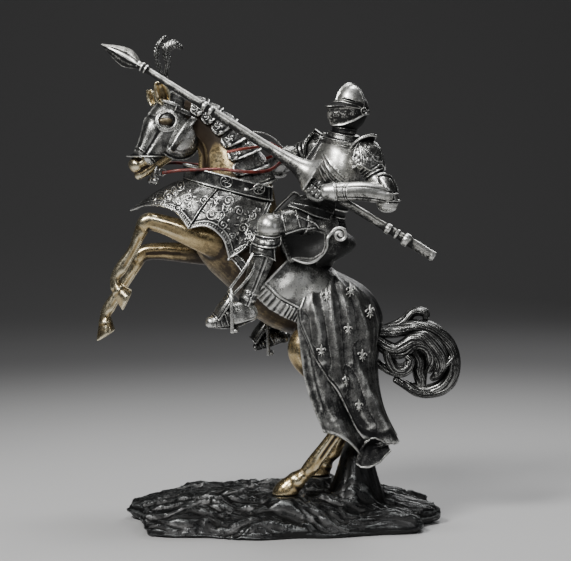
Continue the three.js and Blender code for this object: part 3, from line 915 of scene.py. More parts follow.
def turned_bar(profile: Sequence[tuple[float, float]], sides: int, longest: float = 3.0) -> Piece:
    """Turns a bar about its own axis: a disc is extruded from step to step and resized.

    Args:
        profile: radius and height of each step, in millimetres, from the lower end.
        sides: faces round it.
        longest: the longest step; a longer one is made in several.

    Returns:
        The new object, along +Z from the origin, in bare millimetres.
    """
    deselect()
    (radius, height), *steps = profile
    bpy.ops.mesh.primitive_circle_add(
        vertices=sides, radius=radius, fill_type="NGON", location=(0, 0, height)
    )
    piece = bpy.context.active_object
    bpy.ops.object.transform_apply(location=True)
    bpy.ops.object.mode_set(mode="EDIT")
    bpy.ops.mesh.select_all(action="SELECT")
    for wider, higher in steps:
        count = max(1, math.ceil(abs(higher - height) / longest))
        for _ in range(count):
            bpy.ops.mesh.extrude_region_move(
                TRANSFORM_OT_translate={"value": (0, 0, (higher - height) / count)}
            )
            share = (wider / radius) ** (1 / count)
            bpy.ops.transform.resize(value=(share, share, 1.0))
        radius, height = wider, higher
    bpy.ops.object.mode_set(mode="OBJECT")
    outward(piece)
    return piece


def laid(piece: Piece, start: Sequence[float], end: Sequence[float]) -> Piece:
    """Lays a piece made along +Z so that it starts at one point and runs towards another.

    Args:
        piece: the piece.
        start: where it starts.
        end: the point that it runs towards.

    Returns:
        The new object.
    """
    along = Vector(end) - Vector(start)
    turn = np.array(Vector((0, 0, 1)).rotation_difference(along).to_matrix())
    put(piece, coordinates(piece) @ turn.T + np.array(start))
    return piece


def reshaped(piece: Piece, place: Callable[[Array], Array]) -> Piece:
    """Moves a piece's vertices to where a function puts them."""
    put(piece, place(figure_places(piece)))
    return piece


def mirrored(piece: Piece) -> Piece:
    """Copies a piece to the other side of the middle plane.

    Args:
        piece: the piece.

    Returns:
        The new object.
    """
    choose(piece)
    bpy.ops.object.duplicate()
    copy = bpy.context.active_object
    put(copy, figure_places(copy) * np.array([1.0, -1.0, 1.0]))
    edited(copy, bpy.ops.mesh.flip_normals)
    return copy


# Finishes


def feed(tree: Tree, place: Socket, value: object) -> None:
    """Links a socket to an input, or sets the input to a number or a colour.

    Args:
        tree: the node tree.
        place: the input.
        value: the socket, number or colour.
    """
    if isinstance(value, Socket):
        tree.links.new(value, place)
    else:
        place.default_value = (*value, 1.0) if isinstance(value, tuple) else value


def math_node(tree: Tree, kind: str, *values: object) -> Socket:
    """Adds a math node whose inputs are sockets or plain numbers.

    Args:
        tree: the node tree.
        kind: its kind.
        values: its inputs.

    Returns:
        Its output.
    """
    node = tree.nodes.new("ShaderNodeMath")
    node.operation = kind
    for place, value in zip(node.inputs, values):
        feed(tree, place, value)
    return node.outputs[0]


def ramp_node(tree: Tree, value: Socket, low: float, high: float) -> Socket:
    """Adds a smooth rise from 0 to 1 between two values.

    Args:
        tree: the node tree.
        value: what it reads.
        low: where it starts to rise.
        high: where it is full.

    Returns:
        Its output.
    """
    node = tree.nodes.new("ShaderNodeMapRange")
    node.interpolation_type = "SMOOTHSTEP"
    tree.links.new(value, node.inputs["Value"])
    node.inputs["From Min"].default_value = low
    node.inputs["From Max"].default_value = high
    return node.outputs["Result"]


def mix_node(
    tree: Tree, mask: Socket, first: object, second: object
) -> Socket:
    """Adds a colour mix of two colours or sockets by a mask.

    Args:
        tree: the node tree.
        mask: the share of the second.
        first: the first colour or socket.
        second: the second colour or socket.

    Returns:
        Its output.
    """
    node = tree.nodes.new("ShaderNodeMix")
    node.data_type = "RGBA"
    tree.links.new(mask, node.inputs["Factor"])
    feed(tree, node.inputs[6], first)
    feed(tree, node.inputs[7], second)
    return node.outputs[2]


def noise_node(
    tree: Tree, place: Socket, scale: object, detail: float, rough: float
) -> Socket:
    """Adds noise at a scale that is a number or a socket.

    Args:
        tree: the node tree.
        place: the coordinates.
        scale: its scale.
        detail: its octaves.
        rough: its roughness.

    Returns:
        Its output.
    """
    node = tree.nodes.new("ShaderNodeTexNoise")
    tree.links.new(place, node.inputs["Vector"])
    feed(tree, node.inputs["Scale"], scale)
    node.inputs["Detail"].default_value = detail
    node.inputs["Roughness"].default_value = rough
    return node.outputs["Fac"]


def grain_group() -> Tree:
    """Builds the grain of a cast and painted skin: clouds, speckles, and a height for bumps.

    Returns:
        The node group.
    """
    tree = bpy.data.node_groups.new("cast_grain", "ShaderNodeTree")
    tree.interface.new_socket("Size", in_out="INPUT", socket_type="NodeSocketFloat").default_value = 1.0
    for name in ("Clouds", "Speckles", "Height"):
        tree.interface.new_socket(name, in_out="OUTPUT", socket_type="NodeSocketFloat")
    start = tree.nodes.new("NodeGroupInput")
    end = tree.nodes.new("NodeGroupOutput")
    place = tree.nodes.new("ShaderNodeTexCoord").outputs["Object"]
    size = start.outputs["Size"]
    clouds = noise_node(tree, place, math_node(tree, "DIVIDE", 160.0, size), 4.0, 0.62)
    speckles = noise_node(tree, place, math_node(tree, "DIVIDE", 900.0, size), 3.0, 0.7)
    pits = noise_node(tree, place, math_node(tree, "DIVIDE", 2300.0, size), 2.0, 0.6)
    tree.links.new(ramp_node(tree, clouds, 0.32, 0.68), end.inputs["Clouds"])
    tree.links.new(ramp_node(tree, speckles, 0.36, 0.64), end.inputs["Speckles"])
    coarse = math_node(tree, "MULTIPLY", speckles, 0.7)
    tree.links.new(math_node(tree, "MULTIPLY_ADD", pits, 0.3, coarse), end.inputs["Height"])
    return tree


def wear_group() -> Tree:
    """Builds the wash that lies in hollows and the wear of edges from a piece's relief, with the painted
    shade and painted highlights of its stain attribute and of ambient occlusion.

    Returns:
        The node group.
    """
    tree = bpy.data.node_groups.new("wash_shade_and_wear", "ShaderNodeTree")
    for name in ("Speckles", "Clouds"):
        tree.interface.new_socket(name, in_out="INPUT", socket_type="NodeSocketFloat")
    reach = tree.interface.new_socket("Occlusion_reach", in_out="INPUT", socket_type="NodeSocketFloat")
    reach.default_value = 0.007
    patchy = tree.interface.new_socket("Patchy", in_out="INPUT", socket_type="NodeSocketFloat")
    patchy.default_value = 1.0
    for name in ("Wash_and_shade", "Wear_and_highlight"):
        tree.interface.new_socket(name, in_out="OUTPUT", socket_type="NodeSocketFloat")
    start = tree.nodes.new("NodeGroupInput")
    end = tree.nodes.new("NodeGroupOutput")
    relief = tree.nodes.new("ShaderNodeAttribute")
    relief.attribute_name = "relief"
    painted_shade_and_stain = tree.nodes.new("ShaderNodeAttribute")
    painted_shade_and_stain.attribute_name = "painted_shade_and_stain"
    # Ambient occlusion darkens the wash where parts and folds crowd each other, and keeps the wear off there:
    # painted shade, on top of the wash that the relief lays in hollows.
    occlusion_node = tree.nodes.new("ShaderNodeAmbientOcclusion")
    occlusion_node.samples = 6
    tree.links.new(start.outputs["Occlusion_reach"], occlusion_node.inputs["Distance"])
    painted_occlusion = math_node(tree, "SUBTRACT", 1.0, occlusion_node.outputs["AO"])
    broken = math_node(tree, "MULTIPLY_ADD", start.outputs["Speckles"], 0.64, -0.32)
    cloudy = math_node(tree, "MULTIPLY_ADD", start.outputs["Clouds"], 0.6, -0.3)
    uneven = math_node(tree, "MULTIPLY", math_node(tree, "ADD", broken, cloudy), start.outputs["Patchy"])
    sunk = math_node(tree, "MULTIPLY", relief.outputs["Fac"], -1.15)
    low = math_node(tree, "MULTIPLY_ADD", painted_occlusion, 1.25, sunk)
    # Where the stain attribute is above nought it darkens the wash: stain, and the painted shade that the
    # piece lays on.
    low = math_node(tree, "ADD", low, painted_shade_and_stain.outputs["Fac"])
    low = math_node(tree, "SUBTRACT", low, uneven)
    high = math_node(tree, "MULTIPLY_ADD", painted_occlusion, -0.7, relief.outputs["Fac"])
    high = math_node(tree, "ADD", high, math_node(tree, "MULTIPLY", uneven, 0.6))
    # Where the stain attribute is below nought it lifts the wear: a painted highlight.
    high = math_node(tree, "MULTIPLY_ADD", painted_shade_and_stain.outputs["Fac"], -0.45, high)
    tree.links.new(ramp_node(tree, low, -0.15, 0.75), end.inputs["Wash_and_shade"])
    tree.links.new(ramp_node(tree, high, 0.2, 0.75), end.inputs["Wear_and_highlight"])
    return tree


@dataclass(frozen=True)
class Finish:
    """A metallic paint with a dark wash in its hollows and bright worn edges, with painted shade and painted
    highlights laid over them.
    """

    name: str
    slot: Slot
    body: tuple[float, float, float]
    cloud: tuple[float, float, float]
    wash: tuple[float, float, float]
    edge: tuple[float, float, float]
    metal: tuple[float, float]  # where washed, and where bare
    rough: tuple[float, float]  # where bare, and where washed
    grain: float = 1.0
    bump: float = 0.3
    reach: float = 0.007
    coat: float = 0.0
    patchy: float = 1.0  # how unevenly the wash and the wear lie

    def material(self) -> bpy.types.Material:
        """Builds the material.

        Returns:
            The material.
        """
        material = bpy.data.materials.new(self.name)
        material.use_nodes = True
        tree = material.node_tree
        shader = tree.nodes["Principled BSDF"]
        grain = tree.nodes.new("ShaderNodeGroup")
        grain.node_tree = bpy.data.node_groups["cast_grain"]
        grain.inputs["Size"].default_value = self.grain
        wear = tree.nodes.new("ShaderNodeGroup")
        wear.node_tree = bpy.data.node_groups["wash_shade_and_wear"]
        wear.inputs["Occlusion_reach"].default_value = self.reach
        wear.inputs["Patchy"].default_value = self.patchy
        tree.links.new(grain.outputs["Speckles"], wear.inputs["Speckles"])
        tree.links.new(grain.outputs["Clouds"], wear.inputs["Clouds"])
        patchy = mix_node(tree, grain.outputs["Clouds"], self.cloud, self.body)
        # The wash mask also carries painted shade, and the wear mask painted highlights.
        washed = mix_node(tree, wear.outputs["Wash_and_shade"], patchy, self.wash)
        worn = mix_node(tree, wear.outputs["Wear_and_highlight"], washed, self.edge)
        tree.links.new(worn, shader.inputs["Base Color"])
        bare = math_node(tree, "SUBTRACT", 1.0, wear.outputs["Wash_and_shade"])
        bare = math_node(tree, "MAXIMUM", bare, wear.outputs["Wear_and_highlight"])
        metal = math_node(tree, "MULTIPLY_ADD", bare, self.metal[1] - self.metal[0], self.metal[0])
        tree.links.new(metal, shader.inputs["Metallic"])
        dull = math_node(tree, "SUBTRACT", 1.0, bare)
        rough = math_node(tree, "MULTIPLY_ADD", dull, self.rough[1] - self.rough[0], self.rough[0])
        mottled = math_node(tree, "MULTIPLY_ADD", grain.outputs["Speckles"], -0.12, 0.06)
        tree.links.new(math_node(tree, "ADD", rough, mottled), shader.inputs["Roughness"])
        shader.inputs["Coat Weight"].default_value = self.coat
        shader.inputs["Coat Roughness"].default_value = 0.25
        bumps = tree.nodes.new("ShaderNodeBump")
        bumps.inputs["Strength"].default_value = self.bump
        bumps.inputs["Distance"].default_value = 0.0004
        tree.links.new(grain.outputs["Height"], bumps.inputs["Height"])
        tree.links.new(bumps.outputs["Normal"], shader.inputs["Normal"])
        return material


SILVER = Finish(
    "antique_silver_paint", Slot.SILVER,
    body=(0.32, 0.32, 0.305), cloud=(0.12, 0.12, 0.117), wash=(0.005, 0.005, 0.006), edge=(0.82, 0.82, 0.79),
    metal=(0.35, 0.96), rough=(0.29, 0.46), bump=0.4,
)
# Blackened paint of the dark parts; on the far arm, far leg and far stirrup it is painted shade of the far
# side.
DARK_SILVER = Finish(
    "blackened_and_shaded_silver_paint", Slot.SILVER,
    body=(0.048, 0.048, 0.047), cloud=(0.020, 0.020, 0.020),
    wash=(0.003, 0.003, 0.003), edge=(0.34, 0.34, 0.33),
    metal=(0.3, 0.9), rough=(0.27, 0.45), bump=0.3,
)
SADDLE_BLACK = Finish(
    "blackened_saddle_paint", Slot.SILVER,
    body=(0.030, 0.030, 0.029), cloud=(0.012, 0.012, 0.012),
    wash=(0.003, 0.003, 0.003), edge=(0.22, 0.22, 0.21),
    metal=(0.1, 0.6), rough=(0.42, 0.62), bump=0.7,
)
CLOTH_SILVER = Finish(
    "rubbed_silver_paint", Slot.SILVER,
    body=(0.22, 0.22, 0.212), cloud=(0.13, 0.13, 0.127), wash=(0.005, 0.005, 0.006), edge=(0.74, 0.74, 0.71),
    metal=(0.35, 0.95), rough=(0.33, 0.48), bump=0.55, patchy=1.1,
)
GOLD = Finish(
    "pale_gold_paint", Slot.GOLD,
    body=(0.66, 0.52, 0.29), cloud=(0.52, 0.39, 0.20), wash=(0.030, 0.019, 0.010), edge=(0.95, 0.86, 0.62),
    metal=(0.4, 0.97), rough=(0.24, 0.42), grain=2.4, bump=0.04, reach=0.014, patchy=0.2,
)
STEEL = Finish(
    "bright_steel_paint", Slot.STEEL,
    body=(0.74, 0.73, 0.69), cloud=(0.50, 0.50, 0.47), wash=(0.015, 0.015, 0.015), edge=(0.94, 0.94, 0.91),
    metal=(0.5, 0.97), rough=(0.33, 0.5), bump=0.16, patchy=0.8,
)
ROCK = Finish(
    "black_rock_paint", Slot.ROCK,
    body=(0.009, 0.010, 0.011), cloud=(0.004, 0.004, 0.005),
    wash=(0.001, 0.001, 0.001), edge=(0.11, 0.115, 0.115),
    metal=(0.2, 0.5), rough=(0.30, 0.5), grain=1.2, bump=0.5, coat=0.1,
)
RED_STRAP = Finish(
    "red_strap_paint", Slot.RED_STRAP,
    body=(0.11, 0.009, 0.007), cloud=(0.05, 0.004, 0.003),
    wash=(0.008, 0.002, 0.002), edge=(0.20, 0.035, 0.022),
    metal=(0.05, 0.3), rough=(0.34, 0.55), bump=0.3, coat=0.15,
)


@dataclass
class SubAssembly:
    """What every sub-assembly shares: it dresses its pieces and reports them."""

    node: str = CASTING

    def settle(
        self,
        piece: Piece,
        name: str,
        finish: Finish,
        crease: Optional[float] = None,
        painted_shade_and_stain: Array | float = 0.0,
        under: Sequence[float] = (0.4, 0.15),
    ) -> Piece:
        """Names, weathers and dresses a finished piece, lays painted shade on it, and ties it to the frame.

        Args:
            piece: the piece.
            name: its name.
            finish: the paint that it takes.
            crease: the angle, in degrees, past which an edge is sharp; none is sharp without it.
            painted_shade_and_stain: how dark the wash and the painted shade lie on each vertex; below nought
                it is a painted highlight.
            under: how much painted shade the undersides get, and how far up the sides that starts.

        Returns:
            The piece.
        """
        piece.name = name
        piece.data.name = name
        choose(piece)
        if crease is None:
            bpy.ops.object.shade_smooth()
        else:
            bpy.ops.object.shade_smooth_by_angle(angle=math.radians(crease))
        weathered_and_shaded(piece, painted_shade_and_stain, under)
        if triangles(piece) > DENSE:
            modify(piece, "DECIMATE", ratio=THINNED)
        material = bpy.data.materials.get(finish.name) or finish.material()
        piece.data.materials.clear()
        piece.data.materials.append(material)
        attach(piece, "root")
        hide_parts(self.node)
        LOG.info("%s: %d triangles", name, triangles(piece))
        return piece


# The horse

BARREL = Limb(
    (
        (-68, 0, 216, 8, 8), (-58, 0, 212, 22, 19), (-42, 0, 203, 29, 26), (-21, 0, 186, 31, 29),
        (2, 0, 164, 33, 29), (25, 0, 150, 29, 26),
        (43, 0, 137, 27, 22), (58, 0, 125, 20, 17), (66, 0, 118, 9, 9),
    )
)
NECK = Limb(
    (
        (-79, -1, 307, 10, 8), (-64, 0, 296, 14, 9.5), (-50, 0, 281, 18, 12),
        (-42, 0, 263, 24, 16), (-36, 0, 241, 29, 21), (-30, 0, 218, 28, 24),
    )
)
HEAD_TURN = math.radians(22)
POLL = (-80.0, 0.0)
CREST_TURN = -0.5 * math.pi  # the side of the neck and barrel that looks up


def head_turned(places: Array) -> Array:
    """Turns what belongs to the straight head towards the near side, about the poll.

    Args:
        places: places in figure millimetres.

    Returns:
        The points.
    """
    c, s = math.cos(HEAD_TURN), math.sin(HEAD_TURN)
    dx, dy = places[:, 0] - POLL[0], places[:, 1] - POLL[1]
    return np.column_stack([POLL[0] + dx * c - dy * s, POLL[1] + dx * s + dy * c, places[:, 2]])


def foreleg_relief(share: Array, turn: Array) -> Array:
    """Muscles of the forearm, bones of the knee and tendons of the shin.

    Args:
        share: places along it, from 0 to 1.
        turn: angle round it.

    Returns:
        What stands proud, in millimetres.
    """
    front = np.sin(turn)
    forearm = smooth_step(share, 0.08, 0.2) * (1 - smooth_step(share, 0.31, 0.4))
    shin = smooth_step(share, 0.5, 0.56) * (1 - smooth_step(share, 0.7, 0.76))
    proud = forearm * (
        0.9 * bump(front, 0.5, 0.3) - 1.1 * bump(front, -0.12, 0.17) + 0.5 * bump(front, -0.6, 0.2)
    )
    proud += shin * (
        0.6 * bump(front, -0.85, 0.25) - 1.0 * bump(front, -0.35, 0.2) + 0.4 * bump(front, 0.3, 0.3)
    )
    proud += bump(share, 0.41, 0.03) * (0.9 * bump(front, 0.55, 0.3) + 0.5 * bump(front, -0.5, 0.25))
    proud -= 0.6 * bump(share, 0.46, 0.015) * np.abs(np.cos(turn))
    return 0.6 * proud + 0.6 * bump(share, 0.76, 0.03) * bump(front, -0.8, 0.4)


def hindleg_relief(share: Array, turn: Array) -> Array:
    """Muscles of the thigh, the point of the hock and tendons of the shin.

    Args:
        share: places along it, from 0 to 1.
        turn: angle round it.

    Returns:
        What stands proud, in millimetres.
    """
    front = np.sin(turn)
    thigh = smooth_step(share, 0.1, 0.2) * (1 - smooth_step(share, 0.36, 0.44))
    shin = smooth_step(share, 0.52, 0.6) * (1 - smooth_step(share, 0.78, 0.84))
    proud = thigh * (
        1.2 * bump(front, 0.4, 0.3) - 1.3 * bump(front, 0.0, 0.16) + 0.8 * bump(front, -0.45, 0.25)
    )
    proud += shin * (
        0.8 * bump(front, -0.85, 0.3) - 1.2 * bump(front, -0.35, 0.22) + 0.5 * bump(front, 0.4, 0.3)
    )
    proud += bump(share, 0.44, 0.04) * (1.4 * bump(front, -0.9, 0.3) - 0.5 * bump(front, -0.2, 0.2))
    return proud + 1.0 * bump(share, 0.86, 0.03) * bump(front, -0.8, 0.4)


def hoof_relief(share: Array, turn: Array) -> Array:
    """The bead of the coronet and the growth rings of the wall."""
    return 0.5 * bump(share, 0.2, 0.07) - 0.3 * bump(share, 0.34, 0.05) + 0.05 * np.cos(44 * share)


def throat_relief(share: Array, turn: Array) -> Array:
    """The windpipe and the muscles beside it.

    Args:
        share: places along it, from 0 to 1.
        turn: angle round it.

    Returns:
        What stands proud, in millimetres.
    """
    side = np.abs(np.cos(turn))
    throat = np.sin(turn) > 0
    ridge = 1.6 * bump(side, 0.25, 0.16) - 1.8 * bump(side, 0.55, 0.12) + 1.0 * bump(side, 0.8, 0.12)
    return np.where(throat, ridge, 0.0) * smooth_step(share, 0.05, 0.3)


def muzzle_relief(share: Array, turn: Array) -> Array:
    """The nostrils with their rims, and the upper lip.

    Args:
        share: places along it, from 0 to 1.
        turn: angle round it.

    Returns:
        What stands proud, in millimetres.
    """
    nostril = bump(share, 0.66, 0.12) * (hollow(turn, 0.55, 0.3) + hollow(turn, math.pi - 0.55, 0.3))
    rim = bump(share, 0.66, 0.26) * (hollow(turn, 0.55, 0.62) + hollow(turn, math.pi - 0.55, 0.62))
    return 1.5 * rim - 3.4 * nostril + 0.8 * bump(share, 0.95, 0.08)


@dataclass
class Horse(SubAssembly):
    """The horse's bare skin: throat, belly, legs and muzzle, melted into one."""

    voxel: float = 0.95
    near_fore: Stations = (
        (-46, -16, 200, 15, 10), (-72, -20, 208, 10, 8), (-92, -21, 215, 7.6, 6.6), (-105, -21, 217, 7, 6.2),
        (-111, -21, 208, 5, 5), (-117, -21, 195, 3.8, 3.8), (-126, -21, 181, 4.8, 4.6),
        (-130.5, -21, 173, 4.0, 4.2), (-130, -21, 165.5, 4.8, 5.2),
    )
    far_fore: Stations = (
        (-46, 16, 192, 14, 10), (-72, 19, 190, 9, 8), (-98, 20, 191, 7, 6.6), (-112, 20, 189, 6.6, 6.2),
        (-119, 20, 178, 4.8, 5), (-129, 20, 162, 4.0, 4.0), (-139.5, 20, 146, 4.8, 4.8),
        (-142.5, 20, 139, 4.4, 4.6), (-142.5, 20, 133, 5, 5.2),
    )
    near_hind: Stations = (
        (44, -12, 132, 18, 13), (20, -21, 117, 15, 11), (33, -22, 96, 11, 8.5), (54, -22, 78, 8, 6.5),
        (52, -22, 62, 6.2, 5.4), (40, -22, 45, 4.8, 4.6), (25, -22, 24, 6, 5.6), (18, -22, 15, 5, 5),
    )
    far_hind: Stations = (
        (46, 12, 130, 18, 13), (24, 21, 114, 15, 11), (44, 21, 93, 11, 8.5), (69, 19, 73, 8, 6.5),
        (66, 18, 60, 6.2, 5.4), (55, 18, 46, 4.8, 4.6), (43, 18, 28, 6, 5.6), (38, 18, 21, 5, 5),
    )
    # The stations of each raised hoof, and how far its sole slants for each millimetre across.
    hooves: Sequence[tuple[Stations, float]] = (
        (((-129.5, -21, 165.5, 5, 5.4), (-126, -21, 160.8, 6.6, 6.6), (-121.3, -21, 155, 8, 7.8)), 0.47),
        (((-142.5, 20, 136, 5, 5.2), (-142.5, 20, 130, 6.2, 6.4), (-142.4, 20, 122.6, 7.8, 7.6)), 0.6),
    )
    standing: Sequence[tuple[Stations, float]] = (
        (((18, -22, 16, 5.6, 5.8), (10, -22, 9, 8, 7.6), (4, -22, 2, 10, 9), (2, -22, -3, 10, 9)), 0.35),
        (((38, 18, 22, 5.6, 5.8), (34, 18, 16, 8, 7.6), (30, 18, 9, 10, 9), (29, 18, 4, 10, 9)), 8.35),
    )
    muzzle: Stations = ((-103, 0, 272, 7, 7), (-112, 0, 265.5, 6.6, 7), (-118.5, 0, 260.5, 5, 5.6))
    jaw: Stations = ((-92, 0, 270, 7, 6), (-105, 0, 259.5, 4.6, 5), (-115, 0, 253.5, 3.8, 4.2))

    def raised_hoof(self, rows: Stations, slant: float) -> Piece:
        """Models a hoof whose sole slants forward to the toe.

        Args:
            rows: its stations, from the pastern to the sole.
            slant: how far the sole moves along the hoof for each millimetre across.

        Returns:
            The new object.
        """
        start, end = np.array(rows[0][:3]), np.array(rows[-1][:3])
        length = float(np.linalg.norm(end - start))
        axis = (end - start) / length
        across = np.array([-axis[2], 0.0, axis[0]])

        def slanted(places: Array) -> Array:
            """Moves the sole's far side along the hoof."""
            share = np.clip((places - start) @ axis / length, 0, 1)
            return places - axis * (slant * share * ((places - start) @ across))[:, None]

        return reshaped(Limb(rows).model(32, 40, hoof_relief, bulge=0.12), slanted)

    def legs(self) -> list[Piece]:
        """Models the four legs with their hooves.

        Returns:
            The new objects.
        """
        pieces = [Limb(rows).model(28, 110, foreleg_relief) for rows in (self.near_fore, self.far_fore)]
        pieces += [Limb(rows).model(28, 110, hindleg_relief) for rows in (self.near_hind, self.far_hind)]
        pieces += [self.raised_hoof(rows, slant) for rows, slant in self.hooves]
        for rows, sole in self.standing:
            hoof = Limb(rows).model(32, 40, hoof_relief, bulge=0.3)
            places = figure_places(hoof)
            put(hoof, np.column_stack([places[:, :2], np.maximum(places[:, 2], sole)]))
            pieces.append(hoof)
        return pieces

    def head(self) -> list[Piece]:
        """Models the muzzle and the lower jaw.

        Returns:
            The new objects.
        """
        muzzle = Limb(self.muzzle).model(32, 32, muzzle_relief, bulge=0.8)
        jaw = Limb(self.jaw).model(24, 24, bulge=0.9)
        return [reshaped(piece, head_turned) for piece in (muzzle, jaw)]

    def build(self) -> None:
        """Models the skin and dresses it."""
        body = [BARREL.model(48, 60), NECK.model(48, 60, throat_relief)]
        skin = fused([*body, *self.head(), *self.legs()], self.voxel, 2)
        places = figure_places(skin)
        # Painted shade on the top of the neck between the cheek plate and the neck plates.
        shade = (1.3 + 0.5 * smooth_step(places[:, 2], 298, 304)) * smooth_step(places[:, 2], 268, 285)
        shade *= smooth_step(places[:, 0], -90, -76)
        # A painted shadow in a crease down the throat, with a painted highlight beside it.
        throat = bump(places[:, 2], 266, 16)
        shade += throat * (1.2 * bump(places[:, 0], -57.5, 2.2) - 0.8 * bump(places[:, 0], -50, 5))
        # Painted shade low on the belly towards the hind legs, and on the belly's side behind the forelegs.
        under = 0.25 * (1 - smooth_step(places[:, 2], 120, 150)) * bump(places[:, 0], 30, 40)
        side = 0.85 * smooth_step(places[:, 0], -52, -22) * bump(places[:, 2], 178, 32)
        # Painted shade on the far foreleg and on the near forearm.
        far = places[:, 1] > 4
        arms = np.where(
            far, 0.55 * smooth_step(places[:, 0], -125, -105), 0.3 * smooth_step(places[:, 0], -72, -45)
        )
        arms *= smooth_step(places[:, 2], 170, 180) * (places[:, 2] < 222) * (places[:, 0] < -40)
        self.settle(skin, "horse_skin", GOLD, painted_shade_and_stain=shade + under + side + arms, under=(0.5, 0.2))


@dataclass
class HeadArmour(SubAssembly):
    """The chamfron: face plate, eye guards, cheek plates, ears, crest and bit."""

    face: Stations = (
        (-80, 0, 313, 9, 8.5), (-87, 0, 301, 15, 12), (-94, 0, 287, 18, 13), (-104, 0, 274, 12, 10),
        (-109, 0, 268, 9.4, 9),
    )
    cheek_middle: tuple[float, float, float] = (-83, -7.0, 285)
    cheek_profile: Sequence[tuple[float, float]] = (
        (18.6, -0.8), (19.6, -0.6), (20.0, 0.0), (19.6, 0.7), (18.9, 0.7), (18.4, 0.3), (17, 1.6),
        (14.5, 3.4), (11, 5.0), (7, 6.2), (3, 6.8), (0.4, 6.9),
    )
    # Both bands give y as a share of the head's half-width.
    cheek_band: Stations = (
        (-73, 1.0, 299, 0.9, 2.6), (-79, 1.1, 292, 1.0, 2.8),
        (-86, 1.12, 282, 1.0, 2.8), (-92.5, 1.0, 272.5, 0.9, 2.6),
    )
    brow_band: Stations = ((-88, 0.86, 306, 1.2, 1.6), (-80, 0.98, 303, 1.2, 1.6), (-72, 0.92, 300, 1.0, 1.4))
    brim: Sequence[tuple[float, float]] = (
        (12.6, -0.6), (15.2, -0.5), (15.8, 0.0), (15.2, 0.5),
        (12.6, 0.9), (10.2, 1.8), (8.6, 4.0), (7.6, 7.5),
    )
    # Root, tip, half-width and the side that each ear opens to.
    ears: Sequence[tuple[Sequence[float], Sequence[float], float, Sequence[float]]] = (
        ((-91.6, -12.5, 310), (-96.6, -14, 327), 5.4, (-0.2, -1.0, 0.1)),
        ((-102, 8, 309), (-105.6, 9, 320.5), 2.8, (-0.3, -1.0, 0.1)),
    )
    plumes: Sequence[Stations] = (
        ((-92, 0, 312, 0.9, 1.1), (-93, 0, 322, 0.9, 1.1), (-95, 0, 334, 0.9, 1.1), (-98.4, 0, 344, 1.0, 1.5),
         (-98, 0, 353, 1.1, 1.8), (-94.6, 0, 359.5, 0.9, 1.5), (-91, 0, 363, 0.6, 0.8)),
        ((-88, 0, 310, 1.0, 1.2), (-90.5, 0, 322, 1.0, 1.2), (-91, 0, 333, 1.1, 1.4),
         (-89.6, 0, 342, 1.3, 1.9),
         (-91, 0, 349, 1.5, 2.5), (-89.5, 0, 354.5, 1.6, 3.2),
         (-85, 0, 356.5, 1.5, 3.0), (-80.5, 0, 355, 1.0, 1.8),
         (-78, 0, 353.4, 0.6, 0.9)),
    )

    def face_relief(self, share: Array, turn: Array) -> Array:
        """The ridge down the nose, the flutes beside it and the flare over the nostrils.

        Args:
            share: places along it, from 0 to 1.
            turn: angle round it.

        Returns:
            What stands proud, in millimetres.
        """
        ridge = 1.2 * hollow(turn, 0.5 * math.pi, 0.1)
        low = smooth_step(share, 0.42, 0.62)
        flutes = sum(hollow(turn, 0.5 * math.pi + hand * 0.62, 0.3) for hand in (-1, 1))
        grooves = sum(hollow(turn, 0.5 * math.pi + hand * 1.15, 0.1) for hand in (-1, 1))
        ends = 0.6 * bump(share, 0.97, 0.02) - 0.8 * bump(share, 0.4, 0.02)
        return ridge + low * (1.6 * flutes - 1.4 * grooves) + ends

    def band_edges(self, share: Array, turn: Array) -> Array:
        """The raised edges and ends of a band."""
        return 0.35 * np.abs(np.cos(turn)) ** 6 + 0.2 * (np.abs(share - 0.5) > 0.46)

    def strap(self, rows: Stations, across: tuple[float, float, float]) -> Piece:
        """Models a flat band with raised edges along stations."""
        return Limb(rows, across).model(24, 50, self.band_edges, power=4.0, bulge=0.3)

    def plates(self) -> list[Piece]:
        """Models the face, brim, cheeks, eye guards and bands of the straight head.

        Returns:
            The new objects.
        """
        pieces = [Limb(self.face).model(90, 100, self.face_relief)]
        brim = turned_bar(self.brim, 56, 1.0)
        shape = coordinates(brim) * np.array([1.0, 0.8, 1.0])
        put(brim, shape + np.array([-109, 0, 268.5]))
        pieces.append(brim)
        middle = np.array(self.cheek_middle)
        for side in (1, -1):
            flip = np.array([1.0, side, 1.0])
            cheek = laid(
                turned_bar(self.cheek_profile, 90, 1.5), middle * flip, (middle + (0, -10, 0.5)) * flip
            )
            pieces.append(cheek)
            eye = np.array([-95.0, -12.0, 296.5]) * flip
            looks = np.array([-0.25, -1.0, 0.2]) * flip
            pieces.append(ring_bar(eye, looks, 6.7, 1.0, 1.1))
            pieces.append(ring_bar(eye - looks * 1.2, looks, 7.6, 1.5, 1.1))
            y = 13.4 * -side
            stretch = np.array([1.0, y, 1.0, 1.0, 1.0])
            pieces.append(self.strap(np.array(self.cheek_band) * stretch, (0.8, 0.0, 0.6)))
            pieces.append(self.strap(np.array(self.brow_band) * stretch, (0.3, 0.0, 0.95)))
        pieces.append(ring_bar((-87.5, 0, 309), (0.35, 0, 0.9), 9.5, 1.5, 1.1))
        return [reshaped(piece, head_turned) for piece in pieces]

    def ear(self, root: Sequence[float], tip: Sequence[float], wide: float, looks: Sequence[float]) -> Piece:
        """Models a cupped ear with a rolled rim.

        Args:
            root: where it starts.
            tip: where it ends.
            wide: half its width.
            looks: the side that it opens to.

        Returns:
            The new object.
        """
        start, rise, out = np.array(root), np.array(tip) - np.array(root), unit(np.array(looks))
        aside = unit(np.cross(rise, out))

